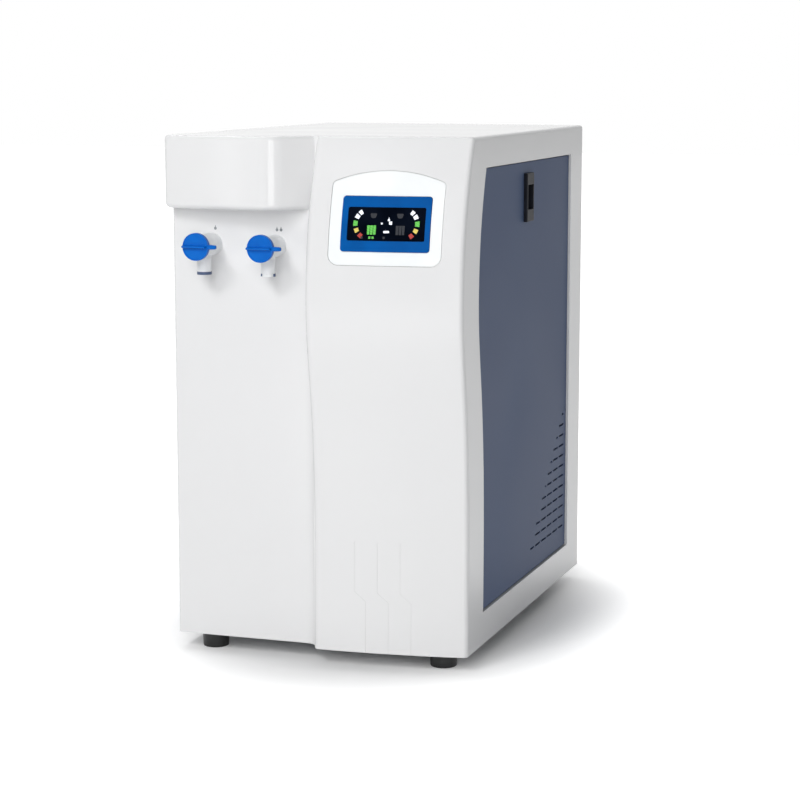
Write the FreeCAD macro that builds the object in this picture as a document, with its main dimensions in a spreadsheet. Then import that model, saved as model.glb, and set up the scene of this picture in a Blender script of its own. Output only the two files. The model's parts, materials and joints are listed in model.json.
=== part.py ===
import FreeCAD, Part
import functools
import math
import os
import re
import Sketcher

# Bench-top ultrapure water system: a slim cabinet whose right half is a bellied display column and
# whose left half is a dispensing recess with two quarter-turn taps under a hood.
# X runs to the right seen from the front, Y to the back, Z up. The origin is the middle of the
# overall box, on the surface that the feet stand on.

V = FreeCAD.Vector

# Driving sizes in millimetres. A name that ends in _back is a distance ahead of the rear face.
DRIVING = {
    # Cabinet
    "body_width": 320.0, "body_top": 540.0, "wall": 3.0, "top_radius": 4.0, "part_gap": 0.3,
    "seat_gap": 0.3, "press_gap": 0.1, "running_fit": 0.08, "overrun": 2.0,
    # Front face of the column: its foot line, its belly and how far it leads at the left edge
    "front_back": 449.0, "belly": 22.5, "face_lead": 16.0, "face_corner": 6.0, "crisp_corner": 3.5,
    "lip_depth": 5.0,
    # Dispensing recess and hood
    "recess_back": 446.0, "recess_radius": 3.5, "cove_radius": 15.0,
    "hood_high": 74.0, "hood_corner_back": 466.0, "hood_bulge_back": 478.0,
    "hood_end_back": 438.0, "hood_end_reach": 6.0, "hood_nose": 38.0, "hood_swell": 55.0,
    "hood_swell_back": 474.0, "hood_radius": 7.0, "nose_radius": 32.0, "hood_edge": 6.0,
    # Grooves in the column's face
    "groove_width": 3.4, "groove_depth": 0.5, "groove_first": 44.5, "groove_step": 11.5,
    "groove_pitch": 23.6, "groove_top": 132.5, "groove_bend": 80.0, "groove_low": 70.0,
    "groove_lean": 1.1,
    # Display: its edges are margins from the body's edge and top, or from the piece around it
    "surround_start": 24.5, "surround_margin": 22.0, "surround_drop": 125.0, "surround_high": 80.5,
    "surround_arch": 11.5, "surround_corner": 10.0, "surround_shoulder": 5.0,
    "surround_thick": 1.4, "surround_sink": 0.35, "surround_gap": 0.5,
    "bezel_left_margin": 12.3, "bezel_right_margin": 11.7, "bezel_rise": 13.5, "bezel_high": 54.0,
    "bezel_corner": 3.0, "bezel_stand": 0.8, "bezel_thick": 3.2,
    "window_left_margin": 6.5, "window_right_margin": 5.2, "window_rise": 10.8, "window_high": 32.5,
    "window_corner": 1.5, "window_thick": 1.5,
    "module_overlap": 2.75, "module_high": 44.0, "module_thick": 6.0, "module_gap": 0.2,
    "board_overlap": 7.0, "board_high": 62.0, "board_thick": 1.6,
    "board_post": 5.0, "board_post_side": 5.0,
    # Taps
    "tap_margin": 44.0, "tap_right": 46.0, "tap_drop": 111.0, "tap_out": 46.5,
    "tap_barrel_radius": 11.5, "tap_barrel_out": 37.0, "tap_thread_radius": 8.0, "tap_tail": 14.0,
    "nozzle_out": 20.0, "nozzle_radius": 7.2, "nozzle_drop": 26.5, "nozzle_bore": 3.0,
    "collar_high": 3.0, "collar_radius": 7.6, "tip_step": 1.1, "lug_space": 3.0,
    "stem_radius": 4.0, "stem_ball": 6.5,
    "seal_section": 1.2, "knob_radius": 14.0, "knob_thick": 5.0,
    "fin_thick": 4.2, "fin_short": 15.2, "fin_long": 22.0, "fin_rise": 4.0,
    "nut_radius": 12.0, "nut_flat": 10.8, "nut_thick": 5.0,
    # Feet and base plate
    "foot_radius": 14.5, "foot_taper": 1.0, "foot_high": 17.0, "foot_margin": 33.0,
    "foot_front_back": 423.0, "foot_rear_back": 35.0, "foot_recess": 5.0, "foot_recess_high": 6.0,
    "screw_radius": 2.0, "screw_head": 3.8, "screw_head_high": 2.4, "bolt_nut_high": 3.0,
    "base_thick": 2.0, "base_flange": 16.0, "base_front_back": 429.0,
    # Side service panels
    "side_front": 57.0, "side_rear_back": 52.0, "side_bottom": 52.5, "side_drop": 33.0,
    "side_sink": 2.5, "side_thick": 3.0, "side_gap": 1.3, "ring_wide": 8.0, "ring_deep": 5.5,
    "strike_margin": 1.6,
    "ledge_wide": 6.0, "pin_radius": 1.5, "pin_reach": 3.5, "pin_long": 10.5,
    "pin_rise": 4.0, "ledge_start": 14.0,
    "magnet_long": 24.0, "magnet_thick": 4.0, "strike_thick": 0.8,
    "pull_front_back": 241.5, "pull_wide": 26.5, "pull_drop": 63.5, "pull_high": 52.0,
    "pull_round": 1.2,
    "pull_stand": 4.3, "pull_box_rim": 1.3, "pull_wall": 1.5, "pull_deep": 13.0,
    "slot_rise": 13.0, "slot_high": 26.5,
    "louvre_bottom": 76.0, "louvre_pitch": 12.0, "louvre_high": 2.2, "louvre_long": 20.0,
    "louvre_space": 25.0, "louvre_rear_back": 62.0, "louvre_start_back": 202.0,
    # Rear panel and its fittings
    "rear_thick": 1.5, "rear_edge": 0.4, "boss_side": 14.0, "boss_deep": 8.0,
    "port_out": 20.5, "port_level": 75.0, "port_margin": 30.0, "port_pitch": 30.0,
    "port_flange_radius": 9.0, "port_flange_out": 15.0, "port_shank_radius": 7.0,
    "port_shank_in": 24.0, "port_bore": 3.3, "collet_radius": 5.5, "collet_flange_radius": 6.5,
    "collet_seat": 3.0, "collet_travel": 2.0, "tube_radius": 3.2,
    "fan_side": 80.0, "fan_deep": 25.0, "fan_bore": 37.5, "fan_hub": 15.0, "fan_margin": 85.0,
    "fan_drop": 110.0, "fan_blade": 1.6, "fan_tip_gap": 1.5, "fan_shaft": 1.5, "fan_strut": 4.0,
    "fan_base": 4.0, "blade_deep": 16.0, "vent_drop": 36.0, "grille_bar": 3.0, "grille_slot": 6.0,
    "vent_slot": 4.0,
    "inlet_margin": 105.0, "inlet_wide": 50.0, "inlet_bottom": 60.0, "inlet_high": 50.0,
    "inlet_flange": 2.5, "inlet_rim": 3.0, "inlet_deep": 30.0, "socket_wide": 24.0,
    "socket_high": 16.5, "socket_deep": 18.0, "blade_pin": 1.0, "blade_high": 4.0,
    "blade_long": 14.0, "blade_space": 7.0, "drawer_wide": 24.0, "drawer_high": 12.0,
    "drawer_deep": 20.0, "drawer_lip": 2.0, "drawer_face": 1.5, "drawer_rise": 32.0,
    "socket_rise": 5.0,
    "switch_margin": 33.0, "switch_level": 84.0, "switch_wide": 22.0, "switch_high": 30.0,
    "switch_rim": 2.5, "switch_deep": 18.0, "rocker_wide": 14.0, "rocker_high": 22.0,
    "rocker_rise": 5.5, "rocker_dip": 3.0, "rocker_root": 5.0, "rocker_room": 1.2,
    "rocker_tilt": 8.0, "rocker_pin_out": 0.9,
    # Centre partition
    "partition_thick": 1.6, "partition_front_back": 392.0, "partition_rear_back": 12.0,
    "partition_drop": 35.0, "partition_foot": 20.0,
    # Filter cartridges
    "cartridge_radius": 43.0, "cartridge_bottom": 60.0, "cartridge_drop": 130.0,
    "cartridge_margin": 82.0, "prefilter_back": 335.0, "polisher_back": 325.0, "neck_radius": 18.0,
    "neck_high": 24.0, "lug_radius": 22.0, "lug_high": 5.0, "lug_wide": 10.0, "lug_rise": 8.0,
    "head_radius": 32.0, "head_high": 46.0, "head_gap": 0.5, "bracket_high": 30.0,
    "bracket_wide": 40.0, "stub_radius": 5.0, "stub_high": 8.0, "stub_side": 17.0,
    # Reverse osmosis vessel
    "vessel_radius": 30.0, "vessel_bottom": 70.0, "vessel_drop": 120.0, "vessel_back": 215.0,
    "vessel_margin": 90.0, "vessel_wall": 3.0, "vessel_cap": 18.0, "element_gap": 1.0,
    "clip_high": 14.0, "clip_wall": 3.0, "clip_low": 130.0, "clip_drop": 200.0,
    # Ultraviolet reactor
    "lamp_x": 40.0, "lamp_back": 205.0, "lamp_radius": 22.0, "lamp_bottom": 90.0,
    "lamp_drop": 150.0, "lamp_wall": 2.0, "lamp_cap": 14.0, "lamp_tube": 9.0,
    # Pumps
    "pump_margin": 85.0, "pump_level": 62.0, "pump_radius": 28.0, "pump_rear_back": 62.0,
    "pump_motor_long": 75.0, "pump_head_long": 38.0, "pump_head_side": 64.0, "cradle_long": 40.0,
    "cradle_wide": 70.0, "cradle_thick": 4.0,
    # Electronics
    "supply_front_back": 160.0, "supply_rear_back": 50.0, "supply_drop": 210.0,
    "supply_high": 62.0, "supply_wide": 80.0, "control_front_back": 165.0,
    "control_rear_back": 40.0, "control_bottom": 200.0, "control_high": 150.0, "post_high": 7.0,
    "post_radius": 3.0, "post_inset": 8.0, "chip_side": 18.0, "chip_thick": 2.5,
    # Valve and cell on the base plate
    "valve_margin": 50.0, "valve_back": 190.0, "valve_side": 26.0, "valve_high": 30.0,
    "coil_radius": 11.0, "coil_high": 28.0, "cell_radius": 8.0, "cell_high": 60.0,
    # Tubing
    "tube_bend": 12.0, "tube_wall": 1.0, "feed_drop": 50.0, "feed_margin": 42.0,
    "feed_back": 100.0, "link_drop": 66.0, "link_back": 407.0, "cross_drop": 28.0,
    "cross_back": 414.0, "lamp_link_drop": 58.0, "tail_depth": 5.6,
}

# Places that follow from the driving sizes
DERIVED = {
    "half_width": "body_width / 2",
    "rear_y": "(recess_back + tap_out - port_out) / 2",
    "front_y": "rear_y - front_back",
    "hood_bottom": "body_top - hood_high",
    "surround_left": "surround_start",
    "surround_right": "half_width - surround_margin",
    "surround_bottom": "body_top - surround_drop",
    "bezel_left": "surround_left + bezel_left_margin",
    "bezel_right": "surround_right - bezel_right_margin",
    "bezel_bottom": "surround_bottom + bezel_rise",
    "window_left": "bezel_left + window_left_margin",
    "window_right": "bezel_right - window_right_margin",
    "window_bottom": "bezel_bottom + window_rise",
    "window_wide": "window_right - window_left",
    "module_wide": "window_wide + module_overlap * 2",
    "board_wide": "module_wide + board_overlap * 2",
    "tap_left": "half_width - tap_margin",
    "tap_level": "body_top - tap_drop",
    "nozzle_bottom": "tap_level - nozzle_drop",
    "foot_side": "half_width - foot_margin",
    "side_top": "body_top - side_drop",
    "pull_bottom": "side_top - pull_drop",
    "slot_bottom": "pull_bottom + slot_rise",
    "port_first": "half_width - port_margin",
    "fan_x": "half_width - fan_margin",
    "fan_level": "body_top - fan_drop",
    "inlet_left": "half_width - inlet_margin",
    "switch_x": "half_width - switch_margin",
    "partition_top": "body_top - partition_drop",
    "cartridge_top": "body_top - cartridge_drop",
    "cartridge_x": "half_width - cartridge_margin",
    "vessel_top": "body_top - vessel_drop",
    "vessel_x": "half_width - vessel_margin",
    "clip_rise": "body_top - clip_drop - clip_low",
    "lamp_top": "body_top - lamp_drop",
    "pump_x": "half_width - pump_margin",
    "supply_bottom": "body_top - supply_drop",
    "valve_x": "half_width - valve_margin",
    "feed_level": "body_top - feed_drop",
    "feed_side": "half_width - feed_margin",
    "link_level": "body_top - link_drop",
    "cross_level": "body_top - cross_drop",
    "lamp_link_level": "body_top - lamp_link_drop",
    "recess_y": "rear_y - recess_back",
    "body_high": "body_top - foot_high",
    "face_out": "half_width - side_sink",
    "face_in": "face_out - side_thick",
    "ring_in": "half_width - wall - ring_deep",
    "inner_half": "half_width - wall",
    "base_top": "foot_high + base_thick",
    "base_y": "rear_y - base_front_back",
    "pin_x": "face_in + side_thick / 2",
    "pin_z": "side_bottom + pin_rise",
    "nozzle_y": "recess_y - nozzle_out",
    "knob_back_y": "recess_y - tap_out + fin_rise + knob_thick",
    "neck_top": "cartridge_top + neck_high",
    "head_bottom": "cartridge_top + head_gap",
    "head_top": "head_bottom + head_high",
    "stub_top": "head_top + stub_high",
    "inlet_x": "inlet_left + inlet_wide / 2",
    "socket_z": "inlet_bottom + socket_rise + socket_high / 2",
    "drawer_z": "inlet_bottom + drawer_rise + drawer_high / 2",
    "vessel_y": "rear_y - vessel_back",
    "lamp_y": "rear_y - lamp_back",
}

# The side view of the column's face: heights as shares of the body's height, and how far each
# point stands out as a share of the belly.
FACE_HEIGHT_SHARES = (0.0, 0.2, 0.36, 0.455, 0.541, 0.627, 0.732, 0.828, 0.924, 1.0)
FACE_BELLY_SHARES = (0.0, -0.05, 0.05, 0.25, 0.55, 0.86, 0.89, 0.6, -0.02, -0.75)

# The fan's rotor
FAN_BLADES = 7
BLADE_PITCH = 38.0

doc = FreeCAD.newDocument("water_system")
sheet = doc.addObject("Spreadsheet::Sheet", "Sizes")
for row, (alias, value) in enumerate(DRIVING.items(), start=1):
    sheet.set("A%d" % row, alias)
    sheet.set("B%d" % row, str(value))
    sheet.setAlias("B%d" % row, alias)
doc.recompute()

PARTS = {}
WORD = re.compile(r"[a-z][a-z_]*")
TURNS = {"z": FreeCAD.Rotation(), "y": FreeCAD.Rotation(V(1, 0, 0), -90),
         "x": FreeCAD.Rotation(V(0, 1, 0), 90)}


def spell(text):
    """Write a sum of named sizes as an expression on the sheet's cells."""
    def swap(match):
        name = match.group(0)
        if name in DERIVED:
            return "(" + spell(DERIVED[name]) + ")"
        return "Sizes." + name if name in DRIVING else name
    return WORD.sub(swap, text)


def size(text):
    return float(sheet.evalExpression(spell(text)))


def keep(label, obj):
    """Give a finished sub-part its name and put it on the list that is written out."""
    obj.Label = label
    PARTS[label] = obj
    return obj


def place(obj, x, y, z):
    for axis, text in zip("xyz", (x, y, z)):
        obj.setExpression(".Placement.Base." + axis, spell(text))


def box(xs, ys, zs):
    obj = doc.addObject("Part::Box", "box")
    for name, (low, high) in zip(("Length", "Width", "Height"), (xs, ys, zs)):
        obj.setExpression(name, spell("(%s) - (%s)" % (high, low)))
    place(obj, xs[0], ys[0], zs[0])
    return obj


def rod(axis, radius, at, span, end_radius=None):
    """A cylinder or cone along an axis. at holds the two other coordinates in x, y, z order."""
    obj = doc.addObject("Part::Cone" if end_radius else "Part::Cylinder", "rod")
    if end_radius:
        obj.setExpression("Radius1", spell(radius))
        obj.setExpression("Radius2", spell(end_radius))
    else:
        obj.setExpression("Radius", spell(radius))
    obj.setExpression("Height", spell("(%s) - (%s)" % (span[1], span[0])))
    obj.Placement = FreeCAD.Placement(V(0, 0, 0), TURNS[axis])
    spot = list(at)
    spot.insert("xyz".index(axis), span[0])
    place(obj, *spot)
    return obj


def join(*shapes):
    obj = doc.addObject("Part::MultiFuse", "join")
    obj.Shapes = list(shapes)
    return obj


def group(*shapes):
    obj = doc.addObject("Part::Compound", "group")
    obj.Links = list(shapes)
    return obj


def less(base, *tools):
    obj = doc.addObject("Part::Cut", "less")
    obj.Base = base
    obj.Tool = tools[0] if len(tools) == 1 else join(*tools)
    return obj


def sketch_on(body, plane, points, offset):
    """A closed outline of straight lines on one of the body's own planes."""
    sketch = body.newObject("Sketcher::SketchObject", "outline")
    support = [item for item in body.Origin.OriginFeatures if item.Role == plane][0]
    sketch.AttachmentSupport = [(support, "")]
    sketch.MapMode = "FlatFace"
    sketch.setExpression("AttachmentOffset.Base.z", spell(offset))
    spots = [(size(u), size(v)) for u, v in points]
    count = len(spots)
    for i in range(count):
        start, end = spots[i], spots[(i + 1) % count]
        sketch.addGeometry(Part.LineSegment(V(start[0], start[1], 0), V(end[0], end[1], 0)), False)
    for i in range(count):
        sketch.addConstraint(Sketcher.Constraint("Coincident", i, 2, (i + 1) % count, 1))
    for i in range(count):
        for kind, side in (("DistanceX", 0), ("DistanceY", 1)):
            made = sketch.addConstraint(Sketcher.Constraint(kind, -1, 1, i, 1, spots[i][side]))
            sketch.setExpression("Constraints[%d]" % made, spell(points[i][side]))
    return sketch


def slab(plane, points, low, high):
    """A padded body. The outline lies in XY, XZ or YZ and the pad runs from low to high."""
    body = doc.addObject("PartDesign::Body", "slab")
    offset = "-(%s)" % high if plane == "XZ_Plane" else low
    sketch = sketch_on(body, plane, points, offset)
    pad = body.newObject("PartDesign::Pad", "pad")
    pad.Profile = sketch
    pad.setExpression("Length", spell("(%s) - (%s)" % (high, low)))
    return body


def turned(points, axis, x, y, z):
    """A body turned from an outline of radius and height, standing at a place along an axis."""
    body = doc.addObject("PartDesign::Body", "turned")
    sketch = sketch_on(body, "XZ_Plane", points, "0")
    spin = body.newObject("PartDesign::Revolution", "spin")
    spin.Profile = sketch
    spin.ReferenceAxis = (sketch, ["V_Axis"])
    spin.Angle = 360
    body.Placement = FreeCAD.Placement(V(0, 0, 0), TURNS[axis])
    place(body, x, y, z)
    return body


def solid(shape):
    """A free-form solid that is worked out by the functions below."""
    obj = doc.addObject("Part::Feature", "form")
    obj.Shape = shape
    return obj


def block(x0, x1, y0, y1, z0, z1):
    return Part.makeBox(x1 - x0, y1 - y0, z1 - z0, V(x0, y0, z0))


def face_line():
    """The curve of the column's face, seen from the side, at the right edge."""
    points = [V(0, size("front_y") - size("belly") * out, size("foot_high") + size("body_high") * up)
              for up, out in zip(FACE_HEIGHT_SHARES, FACE_BELLY_SHARES)]
    curve = Part.BSplineCurve()
    curve.interpolate(points)
    return curve.toShape()


def behind(offset, x0, x1):
    """Everything behind the face's side curve moved back by offset, from x0 to x1."""
    line = face_line()
    line.translate(V(x0, offset, 0))
    bottom, top = [vertex.Point for vertex in line.Vertexes]
    far = size("rear_y") + size("overrun")
    edges = [line, Part.makeLine(top, V(x0, far, top.z)),
             Part.makeLine(V(x0, far, top.z), V(x0, far, bottom.z)),
             Part.makeLine(V(x0, far, bottom.z), bottom)]
    return Part.Face(Part.Wire(edges)).extrude(V(x1 - x0, 0, 0))


def lead_at(x):
    """How far the face stands ahead of the right edge's curve, seen from above."""
    return size("face_lead") * (1 - (x / size("half_width")) ** 2)


def face_at(x, z):
    """The point of the column's face at a place across and up."""
    reach = V(0, size("body_width"), 0)
    edge = V(0, size("front_y"), z)
    ray = Part.makeLine(edge - reach, edge + reach)
    spot = face_line().distToShape(ray)[1][0][0]
    return V(x, spot.y - lead_at(x), z)


def bend(before, corner, after, radius):
    """Start, middle and end of the arc that rounds a corner."""
    into, out = (corner - before).normalize(), (after - corner).normalize()
    half = into.getAngle(out) / 2
    inward = (out - into).normalize()
    cut = radius * math.tan(half)
    return corner - into * cut, corner + inward * (radius / math.cos(half) - radius), corner + out * cut


@functools.cache
def column(inset):
    """The column's plan outline, drawn in by inset, swept up the face's side curve."""
    left, right = inset, size("half_width") - inset
    soft = max(size("face_corner") - inset, size("crisp_corner") / 2)
    crisp = max(size("crisp_corner") - inset, size("crisp_corner") / 2)
    spine = Part.Wire([face_line()])
    low = spine.Vertexes[0].Point.z
    base = size("front_y") + inset

    def face_y(x):
        return base - lead_at(x)

    back = size("rear_y") - size("body_width") / 2
    middle = (left + right) / 2
    turn = math.sqrt(0.5)
    a, b = V(left, face_y(left) + soft, low), V(left + soft, face_y(left + soft), low)
    c, d = V(right - crisp, face_y(right - crisp), low), V(right, face_y(right) + crisp, low)
    ab = V(left + soft - soft * turn, face_y(left) + soft - soft * turn, low)
    cd = V(right - crisp + crisp * turn, face_y(right) + crisp - crisp * turn, low)
    edges = [Part.Arc(a, ab, b).toShape(),
             Part.Arc(b, V(middle, face_y(middle), low), c).toShape(),
             Part.Arc(c, cd, d).toShape(),
             Part.makeLine(d, V(right, back, low)),
             Part.makeLine(V(right, back, low), V(left, back, low)),
             Part.makeLine(V(left, back, low), a)]
    sweep = Part.BRepOffsetAPI.MakePipeShell(spine)
    sweep.setTrihedronMode(V(0, 0, 0), V(0, 0, 1))
    sweep.add(Part.Wire(edges), False, False)
    sweep.build()
    sweep.makeSolid()
    shape = sweep.shape()
    if shape.Volume < 0:
        shape.reverse()
    return shape


def hood(inset):
    """The hood over the taps: a plan outline with a bulge and a flank, drawn in by inset."""
    left = inset - size("half_width")
    rear = size("rear_y") - size("body_width") / 2
    corner = size("rear_y - hood_corner_back") + inset
    bulge = size("rear_y - hood_bulge_back") + inset
    flank = V(size("hood_end_reach + hood_nose"), size("hood_bulge_back - hood_end_back"), 0)
    nose = -size("hood_nose") - inset * (flank.Length - flank.x) / flank.y
    end = size("hood_end_reach")
    last = size("rear_y - hood_end_back") + inset * flank.Length / flank.x
    low, high = size("hood_bottom") + inset, size("body_top") - inset
    middle = V(size("hood_swell - half_width"), size("rear_y - hood_swell_back") + inset, low)
    points = [V(left, rear, low), V(left, corner, low), V(nose, bulge, low), V(end, last, low),
              V(end, rear, low)]
    edges = [Part.makeLine(points[0], points[1]), Part.Arc(points[1], middle, points[2]).toShape(),
             Part.makeLine(points[2], points[3]), Part.makeLine(points[3], points[4]),
             Part.makeLine(points[4], points[0])]
    shape = Part.Face(Part.Wire(edges)).extrude(V(0, 0, high - low))
    slack = size("part_gap")
    for point, wanted in ((points[1], size("hood_radius")), (points[2], size("nose_radius"))):
        upright = [edge for edge in shape.Edges if edge.BoundBox.ZLength > slack
                   and (edge.CenterOfMass - point).cross(V(0, 0, 1)).Length < slack]
        shape = shape.makeFillet(max(wanted - inset, size("crisp_corner")), upright)
    if inset > 0:
        return shape
    for level, rounding in ((low, size("hood_edge")), (high, size("top_radius"))):
        rim = [edge for edge in shape.Edges
               if edge.BoundBox.ZLength < slack and edge.CenterOfMass.x < end - rounding
               and edge.CenterOfMass.y < rear - rounding and abs(edge.CenterOfMass.z - level) < slack]
        shape = shape.makeFillet(rounding, rim)
    return shape


def recess(inset):
    """The block behind the recess wall, with a rounded upright corner on its left."""
    half = size("half_width")
    shape = block(inset - half, size("wall"), size("recess_y") + inset,
                  size("rear_y") - size("body_width") / 2, size("foot_high") + inset,
                  size("body_top") - inset)
    radius = max(size("recess_radius") - inset, size("crisp_corner"))
    upright = [edge for edge in shape.Edges if edge.BoundBox.ZLength > radius
               and edge.CenterOfMass.x < 0 and edge.CenterOfMass.y < size("recess_y") + inset + radius]
    return shape.makeFillet(radius, upright)


def cove():
    """The hollow fillet where the recess wall turns into the column's left side."""
    radius, y = size("cove_radius"), size("recess_y")
    over = size("wall")
    shape = block(-radius, over, y - radius, y + over, size("foot_high"), size("hood_bottom") + over)
    hollow = Part.makeCylinder(radius, size("body_high"), V(-radius, y - radius, size("foot_high")))
    return shape.cut(hollow)


def upright_prism(wire):
    """A prism along Y through the column's face from an outline drawn in XZ."""
    shape = Part.Face(wire)
    shape.translate(V(0, size("front_y") - size("body_width") / 2, 0))
    return shape.extrude(V(0, size("body_width"), 0))


def rounded_outline(left, right, low, high, radius):
    """A rectangle in XZ with rounded corners."""
    spots = [V(left, 0, low), V(right, 0, low), V(right, 0, high), V(left, 0, high)]
    arcs = [bend(spots[number - 1], spots[number], spots[(number + 1) % 4], radius)
            for number in range(4)]
    edges = []
    for number, arc in enumerate(arcs):
        edges.append(Part.makeLine(arcs[number - 1][2], arc[0]))
        edges.append(Part.Arc(*arc).toShape())
    return Part.Wire(edges)


def surround_outline(grow):
    """The plate round the display: a low arch on rounded shoulders, and rounded lower corners."""
    left, right = size("surround_left") - grow, size("surround_right") + grow
    low = size("surround_bottom") - grow
    middle, reach = (left + right) / 2, (right - left) / 2
    rise = size("surround_arch")
    arch = (reach ** 2 + rise ** 2) / (2 * rise)
    apex = size("surround_bottom + surround_high + surround_arch") + grow
    shoulder, corner = size("surround_shoulder") + grow, size("surround_corner") + grow
    up = math.sqrt((arch - shoulder) ** 2 - (reach - shoulder) ** 2)
    to_centre = V(reach - shoulder, 0, up).normalize()
    between = (to_centre + V(1, 0, 0)).normalize()
    turn = corner * (1 - math.sqrt(0.5))

    def at(side, x, z):
        return V(middle + side * x, 0, z)

    def over(side, spot):
        return at(side, spot.x, apex - arch + spot.z)

    centre = V(reach - shoulder, 0, up)
    edges = [Part.Arc(over(-1, to_centre * arch), at(1, 0, apex), over(1, to_centre * arch)).toShape()]
    for side in (1, -1):
        edges += [Part.Arc(over(side, to_centre * arch), over(side, centre + between * shoulder),
                           over(side, centre + V(shoulder, 0, 0))).toShape(),
                  Part.makeLine(over(side, V(reach, 0, up)), at(side, reach, low + corner)),
                  Part.Arc(at(side, reach, low + corner), at(side, reach - turn, low + turn),
                           at(side, reach - corner, low)).toShape()]
    edges.append(Part.makeLine(at(1, reach - corner, low), at(-1, reach - corner, low)))
    return Part.Wire(edges)


def bezel_outline(grow):
    low = size("bezel_bottom")
    return rounded_outline(size("bezel_left") - grow, size("bezel_right") + grow, low - grow,
                           low + size("bezel_high") + grow, size("bezel_corner") + grow)


def window_outline(grow):
    low = size("window_bottom")
    return rounded_outline(size("window_left") - grow, size("window_right") + grow, low - grow,
                           low + size("window_high") + grow, size("window_corner") + grow)


def skin(outline, outer, inner):
    """The layer of the column's face between two depths, inside an outline."""
    return upright_prism(outline).common(column(outer)).cut(column(inner))


def groove_outline(x):
    """One stepped line that runs down the column's face."""
    wide, step = size("groove_width"), size("groove_step")
    top, bend, low = size("groove_top"), size("groove_bend"), size("groove_low")
    end = size("foot_high") - size("overrun")
    lean = size("groove_lean")
    points = [V(x, 0, top), V(x + wide, 0, top), V(x + wide, 0, bend + lean),
              V(x + step + wide, 0, low + lean), V(x + step + wide, 0, end), V(x + step, 0, end),
              V(x + step, 0, low), V(x, 0, bend), V(x, 0, top)]
    return Part.makePolygon(points)


def back_region(gap):
    """All that lies behind the parting line between the front cover and the cabinet."""
    half, over = size("half_width"), size("overrun")
    inner, front = size("inner_half"), size("front_y") - size("body_width")
    lip = size("lip_depth") + gap
    top_y = size("front_y") - size("belly") * FACE_BELLY_SHARES[-1] + lip
    floor_end = size("base_y - seat_gap") + gap
    low, floor_top = size("foot_high") - over, size("foot_high") + size("wall")
    right = behind(lip, 0, half + over)
    left = block(-half - over, 0, top_y, size("rear_y") + over, low, size("body_top") + over)
    base = block(-inner, inner, floor_end, size("rear_y") + over, low, floor_top)
    floor = block(-inner, inner, front, floor_end, low, floor_top)
    return right.fuse([left, base]).cut(floor)


def ahead_zone():
    """The space that the front cover fills, seen as one box."""
    half = size("half_width")
    return block(-half, half, size("front_y") - half, size("front_y") + half / 2, 0, size("body_top"))


def front_cover():
    """The moulded front: recess wall, hood and bellied column in one skin of even wall."""
    outer_column = column(0)
    top_edges = [edge for edge in outer_column.Edges
                 if edge.BoundBox.ZMin > size("body_top") - size("overrun")
                 and edge.CenterOfMass.y < size("rear_y") - size("body_width") / 2]
    outer_column = outer_column.makeFillet(size("top_radius"), top_edges)
    reach = block(-size("cove_radius"), size("wall"), size("front_y") - size("body_width"),
                  size("rear_y"), 0, size("body_top"))
    ahead = behind(size("face_corner") / 2, -size("cove_radius"), size("wall"))
    ahead.translate(V(0, -size("face_lead"), 0))
    fillet = cove().common(reach).common(ahead)
    outer = outer_column.fuse([recess(0), hood(0), fillet])
    wall, over = size("wall"), size("overrun")
    slice_zone = block(-size("half_width"), size("half_width"), size("front_y") - size("body_width"),
                       size("rear_y"), size("foot_high") + wall, size("body_top") - wall)
    inner = column(wall).common(slice_zone).fuse([recess(wall), hood(wall)])
    shape = outer.cut(inner).cut(back_region(0))
    far = size("front_y") + size("belly") + size("lip_depth") + over
    clear = block(-size("half_width") - over, size("half_width") + over, far,
                  size("rear_y") + over, 0, size("body_top") + over)
    shape = shape.cut(clear)
    grooves = [upright_prism(groove_outline(size("groove_first") + number * size("groove_pitch")))
               for number in range(3)]
    tools = [groove.cut(column(size("groove_depth"))) for groove in grooves]
    depth = size("surround_sink") + size("surround_thick")
    tools.append(upright_prism(surround_outline(size("surround_gap"))).cut(column(depth)))
    tools = [tool.common(ahead_zone()) for tool in tools]
    tools.append(upright_prism(bezel_outline(size("seat_gap"))).common(ahead_zone()))
    for side in ("tap_left", "tap_right"):
        hole = Part.makeCylinder(size("tap_thread_radius") + size("seat_gap"), size("wall") + 2 * over,
                                 V(-size(side), size("recess_y") - over, size("tap_level")), V(0, 1, 0))
        tools.append(hole)
    return shape.cut(tools).removeSplitter()


def side_outline(grow, x0, x1, rise=0):
    """A slab of the service panel's outline, grown or shrunk, between two X planes."""
    zone = block(x0, x1, size("front_y") - size("body_width"), size("rear_y - side_rear_back") + grow,
                 size("side_bottom") - grow + rise, size("side_top") + grow)
    return zone.common(behind(size("side_front") - grow, x0, x1))


def side_pins(radius):
    """The two pivot pins at the lower corners of a service panel."""
    reach = size("pin_reach")
    front = size("front_y + side_front")
    rear = size("rear_y - side_rear_back")
    x, z = size("pin_x"), size("pin_z")
    long = size("pin_long")
    return [Part.makeCylinder(radius, long, V(x, y, z), V(0, 1, 0))
            for y in (front - reach, rear + reach - long)]


def magnet_block(grow):
    """The catch magnet in the ledge above the top edge of a service panel."""
    y = (size("front_y + side_front") + size("rear_y - side_rear_back")) / 2
    half = size("magnet_long") / 2 + grow
    top = size("side_top") - size("seat_gap")
    x = size("face_in") - size("seat_gap")
    low = top - size("ledge_wide") + size("strike_margin")
    return block(x - size("magnet_thick") - grow, x + grow, y - half, y + half, low - grow, top + grow)


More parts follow.
